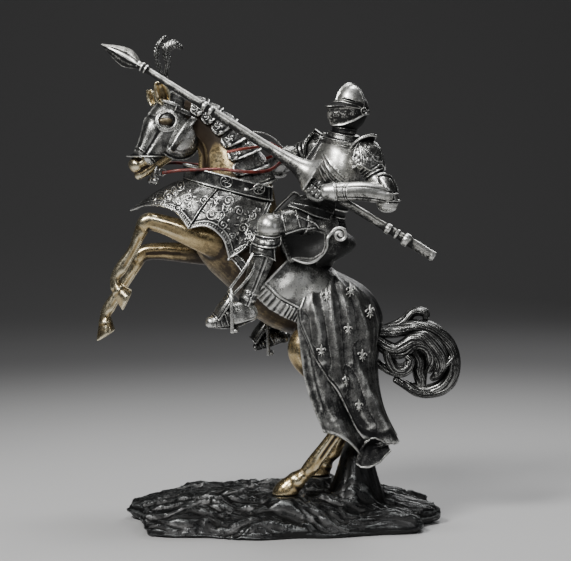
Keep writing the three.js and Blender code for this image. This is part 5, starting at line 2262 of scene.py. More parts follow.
@dataclass
class Saddle(SubAssembly):
    """The war saddle: flaps, scrolls, bowl, bow and seat."""

    leaf: Sequence[Stations] = (
        ((-9, -12, 221), (-2, -12, 229), (5.5, -11, 236), (10.5, -10, 240)),
        ((-3, -13, 221), (4, -13, 228), (10.5, -12, 234.5), (14, -10, 238.5)),
        ((3, -12, 220), (8.5, -12, 225), (13.5, -11, 229.5), (15.5, -10, 234)),
    )
    flap: Sequence[Stations] = (
        ((3, -31, 213), (14, -33, 215), (26, -32, 213), (35, -29, 209)),
        ((-1, -34, 204), (10, -29, 206), (25, -28, 205), (36, -30, 203)),
        ((2.5, -36, 194.5), (11, -30, 197), (24, -29, 196), (36, -32, 199)),
        ((6.5, -37, 185.5), (13, -36.5, 188), (24, -36, 187.5), (33, -34, 193)),
    )
    # Height, reach behind the middle of the seat and half-width of the rear bowl.
    cantle: Stations = (
        (181, 8, 16), (185, 14, 20), (189, 21, 23), (193, 27.5, 25), (198, 31, 25.5), (203, 29, 24),
        (208, 22, 20), (210, 14, 14),
    )
    stem: Stations = ((26, 187.5), (32.5, 192), (36, 198), (36.5, 205))
    sill: Stations = (
        (9, -37, 189.6), (13, -37.4, 187.6), (20, -37.4, 186.0), (27, -36, 187.6), (33, -33, 192.6)
    )
    scroll_middle: tuple[float, float] = (46.0, 207.5)
    scroll_radius: float = 6.3
    scroll_y: float = 31.0

    def scroll_path(self) -> Stations:
        """The band that rises from the flap and rolls into the scroll, seen from the near side.

        Returns:
            Its points.
        """
        x, z = self.scroll_middle
        path = [(px, -self.scroll_y - 2, pz) for px, pz in self.stem]
        for k in range(19):
            turn = math.pi - 0.35 - k * 0.55
            radius = self.scroll_radius * (1 - 0.047 * k)
            path.append((x + radius * math.cos(turn), -self.scroll_y - 0.06 * k, z + radius * math.sin(turn)))
        return tuple(path)

    def bowl(self, behind: bool) -> Piece:
        """Models the bowl behind the rider or the bow before them.

        Args:
            behind: whether it is the rear one.

        Returns:
            The new object.
        """

        def surface(u: Array, v: Array) -> Array:
            """The middle of the plate, round the rider by u and up by v.

            Args:
                u: share across it.
                v: share down it.

            Returns:
                The points.
            """
            if behind:
                turn = (2 * u - 1) * math.radians(92)
                z, reach, half = np.moveaxis(smooth_line(self.cantle, v), -1, 0)
                x, y, z = 28 + reach * np.cos(turn), half * np.sin(turn), z + 0 * turn
            else:
                turn = (2 * u - 1) * math.radians(80)
                x, y = 6 - 10 * np.cos(turn) + 9 * v, 27 * np.sin(turn)
                z = 203 + 24 * v - 12 * np.sin(turn) ** 2
            return np.stack([x, y, z], axis=-1)

        return sheet(surface, 90, 36, 1.8)

    def studs(self, u: Array, v: Array) -> Array:
        """The row of studs down the front of the flap."""
        return 0.8 * bump(u, 0.1, 0.035) * (0.5 + 0.5 * np.cos(2 * math.pi * 10 * v))

    def build(self) -> None:
        """Models the saddle and dresses it."""
        flap = plate(self.flap, (40, 26), self.studs, rim=0.35)
        leaf = plate(self.leaf, (18, 12))
        pieces = [flap, mirrored(flap), leaf, mirrored(leaf), self.bowl(True), self.bowl(False)]
        pieces.append(Limb(((4, 0, 192, 14, 17), (22, 0, 194, 15, 20), (38, 0, 190, 11, 16))).model(40, 24))
        leather = joined(pieces)
        places = figure_places(leather)
        inside = smooth_step(places[:, 2], 187, 191)
        behind = 0.9 * smooth_step(places[:, 0], 42, 50)
        self.settle(leather, "saddle", SADDLE_BLACK, painted_shade_and_stain=0.1 + 0.5 * inside + behind)
        path = self.scroll_path()
        radii = [0.8 if k < 3 else 1.15 for k in range(len(path))]
        x, z = self.scroll_middle
        eye = ball((x, -self.scroll_y - 1.2, z), (1.2, 1.2, 1.2), 0, 24)
        sill = tube(self.sill, (0.4, 0.7, 1.1, 1.1, 0.9), 14, 60)
        near = joined([tube(path, radii, 14, 190), eye, sill])
        scrolls = joined([near, mirrored(near)])
        places = figure_places(scrolls)
        stem = bump(places[:, 0], 35, 5) * bump(places[:, 2], 198, 8)
        self.settle(scrolls, "saddle_scrolls", STEEL, painted_shade_and_stain=0.7 * stem)


# The rider

BODY_TURN = math.radians(40)
HELM_TURN = math.radians(25)
BODY_SIDE = (math.sin(BODY_TURN), -math.cos(BODY_TURN), 0.0)


@dataclass
class Helmet(SubAssembly):
    """A closed helm with a comb, a smooth visor over a pointed ledge and an embossed face guard."""

    middle: tuple[float, float, float] = (52, -3, 306)
    # Height above the middle, reach to the front, to the back and to a side; reach of the ledge.
    rows: Stations = (
        (19.3, -4.0, 5.0, 0.4, 0), (18.7, -0.6, 7.6, 4.4, 0), (16.4, 3.2, 10.4, 8.0, 0),
        (12.8, 6.1, 13.4, 10.2, 0), (9.2, 7.8, 15.4, 11.6, 0), (6.8, 8.9, 17.0, 12.3, 0.4),
        (5.0, 9.7, 18.0, 12.6, 2.0), (3.4, 10.9, 18.8, 13.0, 4.6), (2.2, 12.0, 19.2, 13.1, 6.8),
        (1.4, 12.4, 19.4, 13.1, 6.2), (0.4, 12.8, 19.4, 13.0, 4.2), (-1.6, 13.2, 19.4, 12.9, 3.4),
        (-5, 14.0, 19.0, 12.6, 3.0), (-10.5, 13.2, 16.4, 11.4, 2.0), (-14, 11.2, 14, 10.2, 0.8),
        (-16.5, 7.5, 11, 9.2, 0), (-18.8, 2, 8, 7.0, 0), (-19.8, -3, 4, 0.4, 0),
    )
    rear_edge: Stations = ((305, 65.2), (311, 65.8), (318, 63.5), (322, 60.5), (325, 56))
    rim: Stations = ((41, 293.2), (45, 293.2), (49.5, 293.6), (57.5, 296.6), (62, 299.2), (65.6, 301.3))
    comb: float = 1.3
    flowers: Sequence[tuple[float, float]] = ((43.5, 301), (50, 299.5), (56.5, 302))

    def stand(self, up: Array, turn: Array) -> Array:
        """Puts vertices on the helm.

        Args:
            up: the share of the way from the crown to the foot.
            turn: the angle round it, nought in front and rising to the near side.

        Returns:
            The places in figure millimetres.
        """
        height, front, back, wide, ledge = np.moveaxis(smooth_line(self.rows, up), -1, 0)
        middle, half = 0.5 * (front - back), 0.5 * (front + back)
        aside = np.abs(np.mod(turn + math.pi, 2 * math.pi) - math.pi)
        fore = middle + half * np.cos(turn) + ledge * np.exp(-((aside / 0.62) ** 1.6))
        near = wide * np.sin(turn)
        c, s = math.cos(HELM_TURN), math.sin(HELM_TURN)
        return np.column_stack([near * s - fore * c, -near * c - fore * s, height]) + np.array(self.middle)

    def lines(self) -> Ridges:
        """Draws the slit, the ledge's edges, the visor's rear edge, the guard's rim, pivot and flowers.

        Returns:
            The ridges.
        """
        drawn = Ridges(seen=True)
        drawn.add(((48.5, 314.0), (53, 312.8), (58.8, 311.0)), (0.5, 0.8, 0.6), (-2.4, -3.6, -2.8))
        ledge = ((40.3, 311.0), (46.6, 311.6), (52.9, 310.2), (59.8, 308.2), (63.4, 306.4))
        drawn.add(ledge, (0.4, 0.5, 0.5), 0.5)
        drawn.add(((36.5, 307.6), (44.9, 308.0), (51, 307.6), (56.3, 306.8), (62, 306)), (0.4, 0.5, 0.5), 0.4)
        drawn.add([(x, z) for z, x in self.rear_edge], 0.6, 0.6)
        drawn.add(self.rim, (0.6, 0.7, 0.7), 1.1)
        drawn.add(((65.3, 304), (65.5, 304.1)), 1.2, 1.2)
        drawn.add(spiral(2.5, 2.5, 1.0) + np.array([65.4, 304.0]), 0.5, 1.0)
        for x, z in self.flowers:
            for hand in (-1, 1):
                drawn.add(
                    spiral(2.2, 0.6, 0.9, 0.5 * math.pi, hand) + np.array([x + 1.2 * hand, z]), 0.35, 0.3
                )
        return drawn

    def build(self) -> None:
        """Models the helm and dresses it."""
        deselect()
        bpy.ops.mesh.primitive_uv_sphere_add(segments=260, ring_count=190, radius=1.0)
        helm = bpy.context.active_object
        unit_ball = coordinates(helm)
        up = np.arccos(np.clip(unit_ball[:, 2], -1, 1)) / math.pi
        turn = np.arctan2(unit_ball[:, 1], unit_ball[:, 0])
        places = self.stand(up, turn)
        step = 1e-3
        round_it = self.stand(up, turn + step) - places
        down_it = self.stand(np.minimum(up + step, 0.9999), turn) - places
        out = unit(np.cross(round_it, down_it))
        out[np.sum(out * (places - np.array(self.middle)), axis=1) < 0] *= -1
        x, z = places[:, 0], places[:, 2]
        rear = x - np.interp(z, *np.array(self.rear_edge).T)
        skull = smooth_step(rear, -0.3, 0.5) * (z > 305)
        rims = np.array(self.rim)
        above = z - np.interp(x, rims[:, 0], rims[:, 1])
        under = smooth_step(-above, 0.2, 1.0)
        guard = smooth_step(above, 0.8, 2.0) * (1 - smooth_step(z, 305, 306.5))
        tooling = layered_noise(np.column_stack([turn * 13, z]), 2.2, 3, 11)
        near = smooth_line(self.rows, up)[:, 3] * np.sin(turn)
        blade = self.comb * np.exp(-((near / 0.75) ** 2)) * smooth_step(z, 309, 316)
        raised = blade - 0.7 * skull - 1.4 * under + (0.13 * tooling - 0.1) * np.maximum(guard, 0.6 * skull)
        raised += self.lines().heights(places, out)
        put(helm, places + out * raised[:, None])
        outward(helm)
        # Painted shade on the face guard, on the skull behind the visor, under the rim and on the ledge, and
        # a painted highlight on the rest of the visor.
        ledge = bump(z, 308.8, 3.4) * (1 - skull)
        dark = np.maximum.reduce([1.0 * guard, 1.0 * skull, 1.1 * under, 1.5 * ledge])
        bright = 0.6 * (1 - guard) * (1 - skull) * (1 - under) * (1 - ledge)
        self.settle(helm, "helm", STEEL, painted_shade_and_stain=dark - bright)


@dataclass
class Body(SubAssembly):
    """The breastplate, gorget, skirt of mail and tassets."""

    trunk: Stations = (
        (37, 0, 222, 12.5, 14.5), (40, -1, 232, 13.5, 16), (42, -1, 243, 15.8, 18.6), (44, -2, 256, 18, 22),
        (46, -2, 268, 16.4, 20.6), (47, -2, 275, 14, 17), (48, -2, 280, 9.4, 11),
    )
    gorget: Stations = (
        (48.6, -2, 277.5, 14, 16.6), (48.8, -2, 281, 13.6, 15.6), (49.4, -2.4, 284.5, 11.2, 12.0),
        (50, -2.8, 288, 9.4, 9.8), (50.4, -3, 291, 8.8, 9.0),
    )
    skirt: Stations = (
        (33, 0, 199, 16, 18.5), (34, 0, 212, 17, 19), (37, 0, 224, 12.5, 14.5), (38, 0, 228, 12, 14)
    )
    bands: Sequence[Stations] = (
        ((30.7, 270.6), (32.6, 264.4), (35.8, 258.2), (40.8, 252.6), (47.6, 247.6)),
        ((29.3, 263.8), (31.9, 258.2), (35.8, 252.6), (40.9, 247)),
        ((32.8, 270), (36.9, 263.2), (41.9, 257.6), (48.1, 252)),
        ((27.7, 261.6), (30.2, 254.9), (33.6, 249.3)),
    )
    near_tasset: Sequence[Stations] = (
        ((15, -26, 237), (24, -29, 239.5), (33, -28, 238.5), (43, -22, 234)),
        ((9, -31, 233.5), (20, -35, 233), (31, -33, 231), (42, -26, 227)),
        ((5.5, -35, 230), (16, -39, 227), (26, -38, 222.5), (38, -30, 219)),
    )
    far_tasset: Sequence[Stations] = (
        ((14, 20, 236), (26, 26, 235), (44, 22, 232)),
        ((8, 30, 226), (22, 36, 223), (42, 28, 220)),
        ((6, 36, 216), (18, 40, 213), (36, 32, 208)),
    )
    mail_rows: int = 15
    mail_links: int = 46

    def plate_relief(self, share: Array, turn: Array) -> Array:
        """The rolled edges at the waist and the neck."""
        return 1.3 * bump(share, 0.03, 0.02) + 0.9 * bump(share, 0.12, 0.014) + 0.8 * bump(share, 0.9, 0.015)

    def gorget_relief(self, share: Array, turn: Array) -> Array:
        """The lapping rings of the neck guard."""
        grooves = bump(share, 0.37, 0.03) + bump(share, 0.69, 0.03)
        return lapped(share, (0.34, 0.66, 1.001), 1.4, 0.9) - 0.9 * grooves

    def mail_relief(self, share: Array, turn: Array) -> Array:
        """Rows of rings over the folds of the skirt.

        Args:
            share: places along it, from 0 to 1.
            turn: angle round it.

        Returns:
            What stands proud, in millimetres.
        """
        row = share * self.mail_rows
        shift = math.pi * (np.floor(row) % 2)
        links = np.abs(np.cos(0.5 * (self.mail_links * turn + shift))) * np.abs(np.sin(math.pi * row))
        return 0.8 * links + 1.0 * np.cos(7 * turn) * (1 - smooth_step(share, 0.2, 0.9))

    def tasset_relief(self, u: Array, v: Array) -> Array:
        """The lapping lames of a tasset."""
        return lapped(np.clip(v, 0, 0.999), (0.36, 0.7, 1.0), 0.3, 0.05)

    def build(self) -> None:
        """Models the body armour and dresses it."""
        bands = Ridges(seen=True)
        for path in self.bands:
            bands.add(path, (0.5, 0.6, 0.5), (0.4, 0.65, 0.5))
        trunk = Limb(self.trunk, BODY_SIDE).model(140, 120, self.plate_relief, bulge=0.1, drawn=(bands,))
        places = figure_places(trunk)
        # Painted shade on the lower torso and on both sides of a painted highlight band that slants down the
        # chest.
        low = 1 - smooth_step(places[:, 2], 244, 262)
        aside = 1 - bump(places[:, 0] + 0.4 * (places[:, 2] - 264), 44, 11)
        self.settle(trunk, "breastplate", STEEL, painted_shade_and_stain=0.8 * low + 0.4 * aside - 0.2)
        gorget = Limb(self.gorget, BODY_SIDE).model(72, 60, self.gorget_relief, bulge=0.05)
        neck = Limb(((49, -2, 284, 8.4, 8.6), (51, -3, 300, 8.4, 8.6)), BODY_SIDE).model(40, 12)
        throat = joined([gorget, neck])
        shade = 0.1 + smooth_step(figure_places(throat)[:, 2], 286, 289)
        self.settle(throat, "gorget", SILVER, painted_shade_and_stain=0.9 * shade - 0.1)
        skirt = Limb(self.skirt, BODY_SIDE).model(150, 74, self.mail_relief, bulge=0.1)
        self.settle(skirt, "mail_skirt", DARK_SILVER)
        rows = (self.near_tasset, self.far_tasset)
        tassets = [plate(lines, (40, 18), self.tasset_relief, rim=0.0) for lines in rows]
        self.settle(joined(tassets), "tassets", DARK_SILVER, painted_shade_and_stain=0.5)


@dataclass
class Fist:
    """A gauntlet closed round a bar."""

    centre: tuple[float, float, float]
    bar: tuple[float, float, float]  # the direction of what it holds
    back: tuple[float, float, float]  # the side that the knuckles are on
    grip: float = 3.4
    finger: float = 2.1
    wide: float = 3.9

    def model(self) -> list[Piece]:
        """Models four plated fingers, the thumb and the back of the hand.

        Returns:
            The new objects.
        """
        along = unit(np.array(self.bar, float))
        out = np.array(self.back, float)
        out = unit(out - along * (along @ out))
        across = np.cross(along, out)
        middle = np.array(self.centre, float)
        radius = self.grip + self.finger
        pieces = []

        def lames(share: Array, turn: Array) -> Array:
            """Finger plates."""
            return lapped(share, (0.25, 0.5, 0.75, 1.001), 0.6, 0.3)

        for k in range(4):
            base = middle + along * self.wide * (k - 1.5)
            rows = []
            for step in range(7):
                turn = math.radians(-50 + 42 * step)
                spot = base + out * radius * math.cos(turn) + across * radius * math.sin(turn)
                rows.append((*spot, self.finger, self.finger * 0.95))
            pieces.append(Limb(rows, tuple(along)).model(14, 40, lames))
            knuckle = base + out * (radius + 0.8) * math.cos(-0.5) + across * (radius + 0.8) * math.sin(-0.5)
            pieces.append(ball(knuckle, (2.1, 2.1, 2.1), 0, 14))
        palm = [middle - across * 5.5 + out * 1.0 - along * 1.0, middle + out * 1.5 - across * 1.5]
        pieces.append(
            Limb([(*palm[0], 4.6, 7.2), (*palm[1], 4.2, 7.4)], tuple(along)).model(28, 24, power=2.6)
        )
        thumb = [middle + along * 6.6 - across * 5 + out, middle + along * 8 - across * 0.5 + out * 3.4,
                 middle + along * 7 + across * 3.5 + out * 2.6]
        pieces.append(Limb([(*spot, 2.1, 2.2) for spot in thumb], tuple(out)).model(14, 24, lames))
        return pieces


@dataclass
class Arms(SubAssembly):
    """Both arms in plate, with pauldrons, elbow guards and gauntlets."""

    near_upper: Stations = ((66, -25, 266, 8.4, 8.4), (73, -29, 254, 7.6, 7.6), (81, -34, 239, 8.2, 8.2))
    near_fore: Stations = (
        (84, -36, 238, 6.8, 6.8), (75, -40, 240.5, 7.6, 7.8), (62, -44, 242, 7.6, 8.0),
        (50, -46.5, 242, 7.2, 7.6), (40, -48, 242, 6.6, 6.8),
    )
    far_upper: Stations = ((30, 20, 276, 8, 8), (14, 31, 269, 7.4, 7.4), (-1, 40, 260, 7, 7))
    far_fore: Stations = ((-2, 38, 260, 7, 7), (0, 22, 264, 7.4, 7.4), (5, 4, 269, 5.6, 5.6))
    shoulder_lines: Sequence[Stations] = (
        ((61.4, 279), (62.4, 269.5), (62.5, 259.5)), ((54, 274), (54.5, 267), (55.5, 261)),
        ((66, 274), (70, 270), (76, 268)), ((70, 271), (73, 266), (79, 264)),
    )
    arm_plate: Sequence[Stations] = (
        ((73, -36, 254), (77, -38, 255.5), (82, -36, 255), (86, -32, 252)),
        ((76, -40, 247), (81, -42.5, 248), (86, -39, 247), (90, -33, 245)),
        ((78, -42, 239.5), (83, -44, 239.5), (88, -40, 239), (91, -34, 239.5)),
    )
    near_wing: Sequence[Stations] = (
        ((53.6, -23, 271), (60, -24, 276.5), (67, -23, 279), (73.5, -17, 279.5)),
        ((53, -26, 273), (58.8, -29, 279.2), (67.5, -29, 283), (75, -22, 282.6)),
        ((52.8, -28, 273.4), (58, -32, 280.4), (68, -33.5, 285.4), (75.6, -27, 284.8)),
    )
    far_wing: Sequence[Stations] = (
        ((24, 16, 277), (28, 13, 279), (33, 11, 281), (40, 9, 281.5)),
        ((24.5, 19, 282), (28.5, 15, 284), (33, 12, 283.5), (40, 10, 284.5)),
        ((25.5, 20, 286), (28, 17, 290), (33, 13, 285), (40, 11, 287.5)),
    )
    far_strip: Sequence[Stations] = (
        ((32, 4, 283), (26, 4, 275), (20, 4, 266), (16, 4, 259)),
        ((35.5, 1, 281), (29.5, 0, 272), (23.5, 0, 263), (19, 1, 256)),
        ((39, 0, 279), (33, -1, 269), (27, -1, 260), (22, 0, 253)),
    )

    def upper_relief(self, share: Array, turn: Array) -> Array:
        """Lapping rings below the shoulder and a bordered plate above the elbow."""
        rings = lapped(share, (0.24, 0.33, 0.42, 0.51), 1.2, 0.6)
        return rings + smooth_step(share, 0.55, 0.57) * 0.8 + 0.9 * bump(share, 0.97, 0.03)

    def forearm_relief(self, share: Array, turn: Array) -> Array:
        """The smooth vambrace, its seams and rolled ends.

        Args:
            share: places along it, from 0 to 1.
            turn: angle round it.

        Returns:
            What stands proud, in millimetres.
        """
        seams = -0.5 * (hollow(turn, 2.6, 0.06) + hollow(turn, -2.5, 0.06))
        slant = share + 0.11 * np.cos(turn)
        wraps = sum(-0.4 * bump(slant, at, 0.008) for at in (0.68, 0.72, 0.9))
        return seams + 1.0 * bump(share, 0.98, 0.02) + wraps

    def pauldron(self, dome: Dome, drawn: Sequence[Ridges] = ()) -> Piece:
        """Models a shoulder plate, tooled and rimmed, with a wavy lower edge.

        Args:
            dome: the patch that it follows.
            drawn: ridges that lie on it.

        Returns:
            The new object.
        """

        def surface(u: Array, v: Array) -> Array:
            """The plate's middle."""
            return dome.surface(u, v * (0.94 + 0.07 * np.cos(5.5 * math.pi * np.asarray(u) + 1.0)))

        def relief(u: Array, v: Array) -> Array:
            """The rims and the tooling.

            Args:
                u: share across it.
                v: share down it.

            Returns:
                What stands proud, in millimetres.
            """
            rim = 1.0 * (bump(u, 0.015, 0.014) + bump(u, 0.985, 0.014)) + 1.0 * bump(v, 0.975, 0.02)
            tooling = layered_noise(np.column_stack([u * 46, v * 26]), 2.6, 3, 21)
            return rim + 0.24 * tooling * (1 - smooth_step(v, 0.9, 0.95))

        return sheet(surface, 130, 72, 1.7, relief, drawn)

    def couter(self, centre: tuple[float, float, float], radius: float) -> Piece:
        """Models a round elbow guard with a flange and a boss.

        Args:
            centre: its middle.
            radius: its radius.

        Returns:
            The new object.
        """

        def relief(share: Array, turn: Array) -> Array:
            """A rim round the middle and a star on top."""
            star = 0.4 * np.cos(8 * turn) * (share < 0.4)
            return 1.2 * bump(share, 0.5, 0.05) - 0.7 * bump(share, 0.62, 0.04) + star

        x, y, z = centre
        rows = ((x, y, z + radius * 0.5, radius * 0.8, radius * 0.8), (x, y, z, radius, radius * 0.92),
                (x, y, z - radius * 0.5, radius * 0.8, radius * 0.8))
        return Limb(rows).model(48, 48, relief, cap=0.25, bulge=0.6)

    def build(self) -> None:
        """Models the arms and dresses them."""
        lines = Ridges(seen=True)
        for path in self.shoulder_lines:
            lines.add(path, (0.6, 0.8, 0.6), (0.35, 0.5, 0.3))
        near = [
            self.pauldron(
                Dome((66.5, -23, 261), (15.2, 13, 21), BODY_TURN, (-3.0, 0.35), (0.25, 1.72)), (lines,)
            ),
            Limb(self.near_upper).model(56, 80, self.upper_relief),
            self.couter((83, -33, 234.5), 9.6),
            plate(self.arm_plate, (17, 15), None, rim=1.1),
            plate(self.near_wing, (26, 11), None, rim=0.6, thickness=1.0),
        ]
        arm = joined(near)
        places = figure_places(arm)
        # Painted shade on the elbow below and the shoulder wing above; the rest a little lighter.
        elbow = 0.5 * (1 - smooth_step(places[:, 2], 244, 258)) + 0.6 * smooth_step(
            places[:, 2], 277, 282
        ) - 0.35
        self.settle(arm, "near_arm", SILVER, painted_shade_and_stain=elbow)
        bright = Limb(self.near_fore).model(72, 150, self.forearm_relief, bulge=0.2)
        cuff = tube(((41, -48, 242), (34, -47.5, 242)), (7.4, 5.8), 48, 24)
        vambrace = joined([bright, cuff])
        mottled = 0.5 * layered_noise(figure_places(vambrace), 4.5, 3, 31)
        wrist = 0.5 * (1 - smooth_step(figure_places(vambrace)[:, 0], 36, 50))
        # Strong painted shade on the underside; the mottling is the paint's own, and it darkens towards the
        # wrist.
        self.settle(vambrace, "near_vambrace", STEEL, painted_shade_and_stain=mottled + wrist - 0.2, under=(1.1, 0.5))
        hand = Fist((28, -42, 242.5), (-0.8, 0.0, 0.6), (-0.2, -1.0, 0.2)).model()
        self.settle(joined(hand), "near_gauntlet", DARK_SILVER)
        far = [
            self.pauldron(Dome((30, 18.5, 273), (11.6, 11, 13.5), BODY_TURN, (-1.0, 2.9), (0.3, 2.0))),
            Limb(self.far_upper, (0, 0, 1)).model(48, 70, self.upper_relief),
            self.couter((-2, 41, 258.5), 9.4),
            Limb(self.far_fore, (0, 0, 1)).model(48, 60, self.forearm_relief),
            plate(self.far_wing, (18, 9), None, rim=1.0),
            plate(self.far_strip, (26, 9), None, rim=1.0),
            *Fist((5.5, -2, 270), (0.2, 1.0, 0.1), (-1.0, 0.1, 0.1), grip=2.2, finger=1.9, wide=3.4).model(),
        ]
        # The far arm takes the blackened paint: painted shade of the far side.
        self.settle(joined(far), "far_arm", DARK_SILVER)


@dataclass
class Legs(SubAssembly):
    """Both legs in plate, down to the foot guards."""

    near_thigh: Stations = (
        (36, -12, 212, 12, 11), (23, -24, 217, 10.6, 10),
        (8, -33, 218.5, 9.6, 9.4), (-6, -38, 215.5, 8.2, 8.2),
    )
    near_shin: Stations = (
        (-10, -38, 206, 8.2, 8.2), (-14, -40, 190, 8.6, 8),
        (-20, -41, 173, 7, 6.6), (-27, -42, 154, 5.4, 5.4),
    )
    near_foot: Stations = (
        (-25, -43, 147, 8, 6), (-33, -44, 146, 10.4, 7), (-41.5, -45.5, 143.5, 9.6, 7.4),
        (-49.5, -47, 141, 7, 6.8), (-54.5, -48, 140, 4.6, 5),
    )
    far_thigh: Stations = ((36, 12, 210, 13, 12), (22, 25, 211, 12.5, 11.5), (8, 34, 206, 9.5, 9.5))
    far_shin: Stations = (
        (4, 37, 200, 8.4, 8.4), (2, 39, 176, 8.4, 8), (-2, 41, 150, 6.6, 6.4), (-4, 42, 128, 5.6, 5.6)
    )
    far_foot: Stations = (
        (4, 42, 118, 5.4, 5), (-5, 43, 118, 7.6, 6.2), (-14, 44, 113, 5.8, 6.4), (-21, 44, 109, 2.6, 3.4)
    )
    thigh_lines: Sequence[Stations] = (
        ((11, 230.6), (12.5, 223), (14.8, 214.5)), ((0.1, 227), (1.7, 219.5), (3.2, 212)),
        ((11, 223.5), (20.2, 219.5), (26.4, 216.7), (29.6, 212.8)),
        ((3.2, 209.5), (9.4, 211.4), (15.6, 212.9), (26.4, 213.7)),
    )
    skirt_plate: Sequence[Stations] = (
        ((-20, -42, 209), (-14, -48, 207.5), (-6, -49, 206.5), (0, -44, 208)),
        ((-21, -43, 205.5), (-15, -50, 203.5), (-7, -51, 203), (0, -45, 204.5)),
        ((-22, -43, 201.5), (-15.5, -50, 199), (-7.5, -51, 198.5), (-2, -45, 200.5)),
    )
    knee_plate: Sequence[Stations] = (
        ((-22, -42, 202), (-15, -49.5, 200.5), (-5, -47, 199)),
        ((-23.5, -42, 197), (-16, -50, 195.5), (-4.5, -47.5, 194)),
        ((-23, -42, 191.5), (-14, -49.5, 193), (-4, -47, 188)),
    )

    def thigh_relief(self, share: Array, turn: Array) -> Array:
        """The soft lap of the cuisse."""
        return lapped(share, (0.5, 1.001), 0.8, 0.3)

    def shin_relief(self, share: Array, turn: Array) -> Array:
        """The keel of the greave, its hinge side and the ankle ring.

        Args:
            share: places along it, from 0 to 1.
            turn: angle round it.

        Returns:
            What stands proud, in millimetres.
        """
        keel = 1.0 * hollow(turn, 0.5 * math.pi, 0.12)
        seams = -0.6 * hollow(turn, math.pi + 0.15, 0.05) + 0.5 * hollow(turn, math.pi + 0.35, 0.06)
        return keel + seams + 0.7 * bump(share, 0.93, 0.03) + 0.4 * bump(share, 0.84, 0.015)

    def foot_relief(self, share: Array, turn: Array) -> Array:
        """The lames of the foot guard and the welt of the sole.

        Args:
            share: places along it, from 0 to 1.
            turn: angle round it.

        Returns:
            What stands proud, in millimetres.
        """
        lames = lapped(share, (0.42, 0.56, 0.68, 0.8, 1.001), 0.7, 0.4)
        sole = np.where(np.sin(turn) < -0.6, -1.2, 0.0)
        welt = 0.9 * (hollow(turn, -0.62, 0.1) + hollow(turn, math.pi + 0.62, 0.1))
        return np.where(np.sin(turn) > -0.5, lames, 0.0) + sole + welt

    def knee(self, centre: tuple[float, float, float], radius: float) -> Piece:
        """Models a ball-shaped knee guard.

        Args:
            centre: its middle.
            radius: its radius.

        Returns:
            The new object.
        """
        shell = ball(centre, (0.96 * radius, radius, 1.02 * radius), 0.0, 56)
        places = figure_places(shell)
        foot = 0.9 * bump(places[:, 2] - centre[2], -0.62 * radius, 0.8)
        put(shell, places + unit(places - np.array(centre)) * foot[:, None])
        return shell

    def spur(self, heel: tuple[float, float, float]) -> list[Piece]:
        """Models a spur with a pointed wheel.

        Args:
            heel: where it is strapped on.

        Returns:
            The new objects.
        """
        x, y, z = heel
        arm = tube(((x - 4, y, z + 1), (x + 3, y, z + 0.5), (x + 7, y, z - 0.5)), (1.3, 1.1, 0.9), 12)
        return [arm, ring_bar((x + 8.5, y, z - 0.8), (0, 1, 0), 1.6, 0.6)]

    def scallops(self, u: Array, v: Array) -> Array:
        """The scalloped lower edge of the plate above the knee."""
        return 0.7 * np.abs(np.sin(4.5 * math.pi * u)) ** 0.5 * smooth_step(v, 0.3, 0.8)

    def build(self) -> None:
        """Models the legs and dresses them."""
        lines = Ridges(seen=True)
        for path in self.thigh_lines:
            lines.add(path, 0.6, 1.0)
        near = [
            Limb(self.near_thigh).model(96, 110, self.thigh_relief, drawn=(lines,)),
            Limb(self.near_shin).model(64, 90, self.shin_relief),
            Limb(self.near_foot).model(56, 110, self.foot_relief, bulge=0.9),
            plate(self.skirt_plate, (24, 8), self.scallops),
            plate(self.knee_plate, (22, 11), None, rim=0.9),
        ]
        leg = joined(near)
        places = figure_places(leg)
        # A darker band at the scalloped plate, and painted shade on the calf behind the shin.
        ahead = smooth_step(places[:, 0], -24, -12)
        dark = 0.3 * bump(places[:, 2], 205, 5) + 0.5 * bump(places[:, 2], 178, 16) * ahead
        self.settle(leg, "near_leg", SILVER, painted_shade_and_stain=dark)
        self.settle(self.knee((-9, -40, 214.5), 10.2), "near_knee", STEEL)
        far = [
            Limb(self.far_thigh).model(56, 60, self.thigh_relief),
            self.knee((4, 37, 203), 10.2),
            Limb(self.far_shin).model(56, 80, self.shin_relief),
            Limb(self.far_foot).model(44, 80, self.foot_relief),
            *self.spur((6, 42, 121)),
        ]
        # The far leg takes the blackened paint: painted shade of the far side.
        self.settle(joined(far), "far_leg", DARK_SILVER)


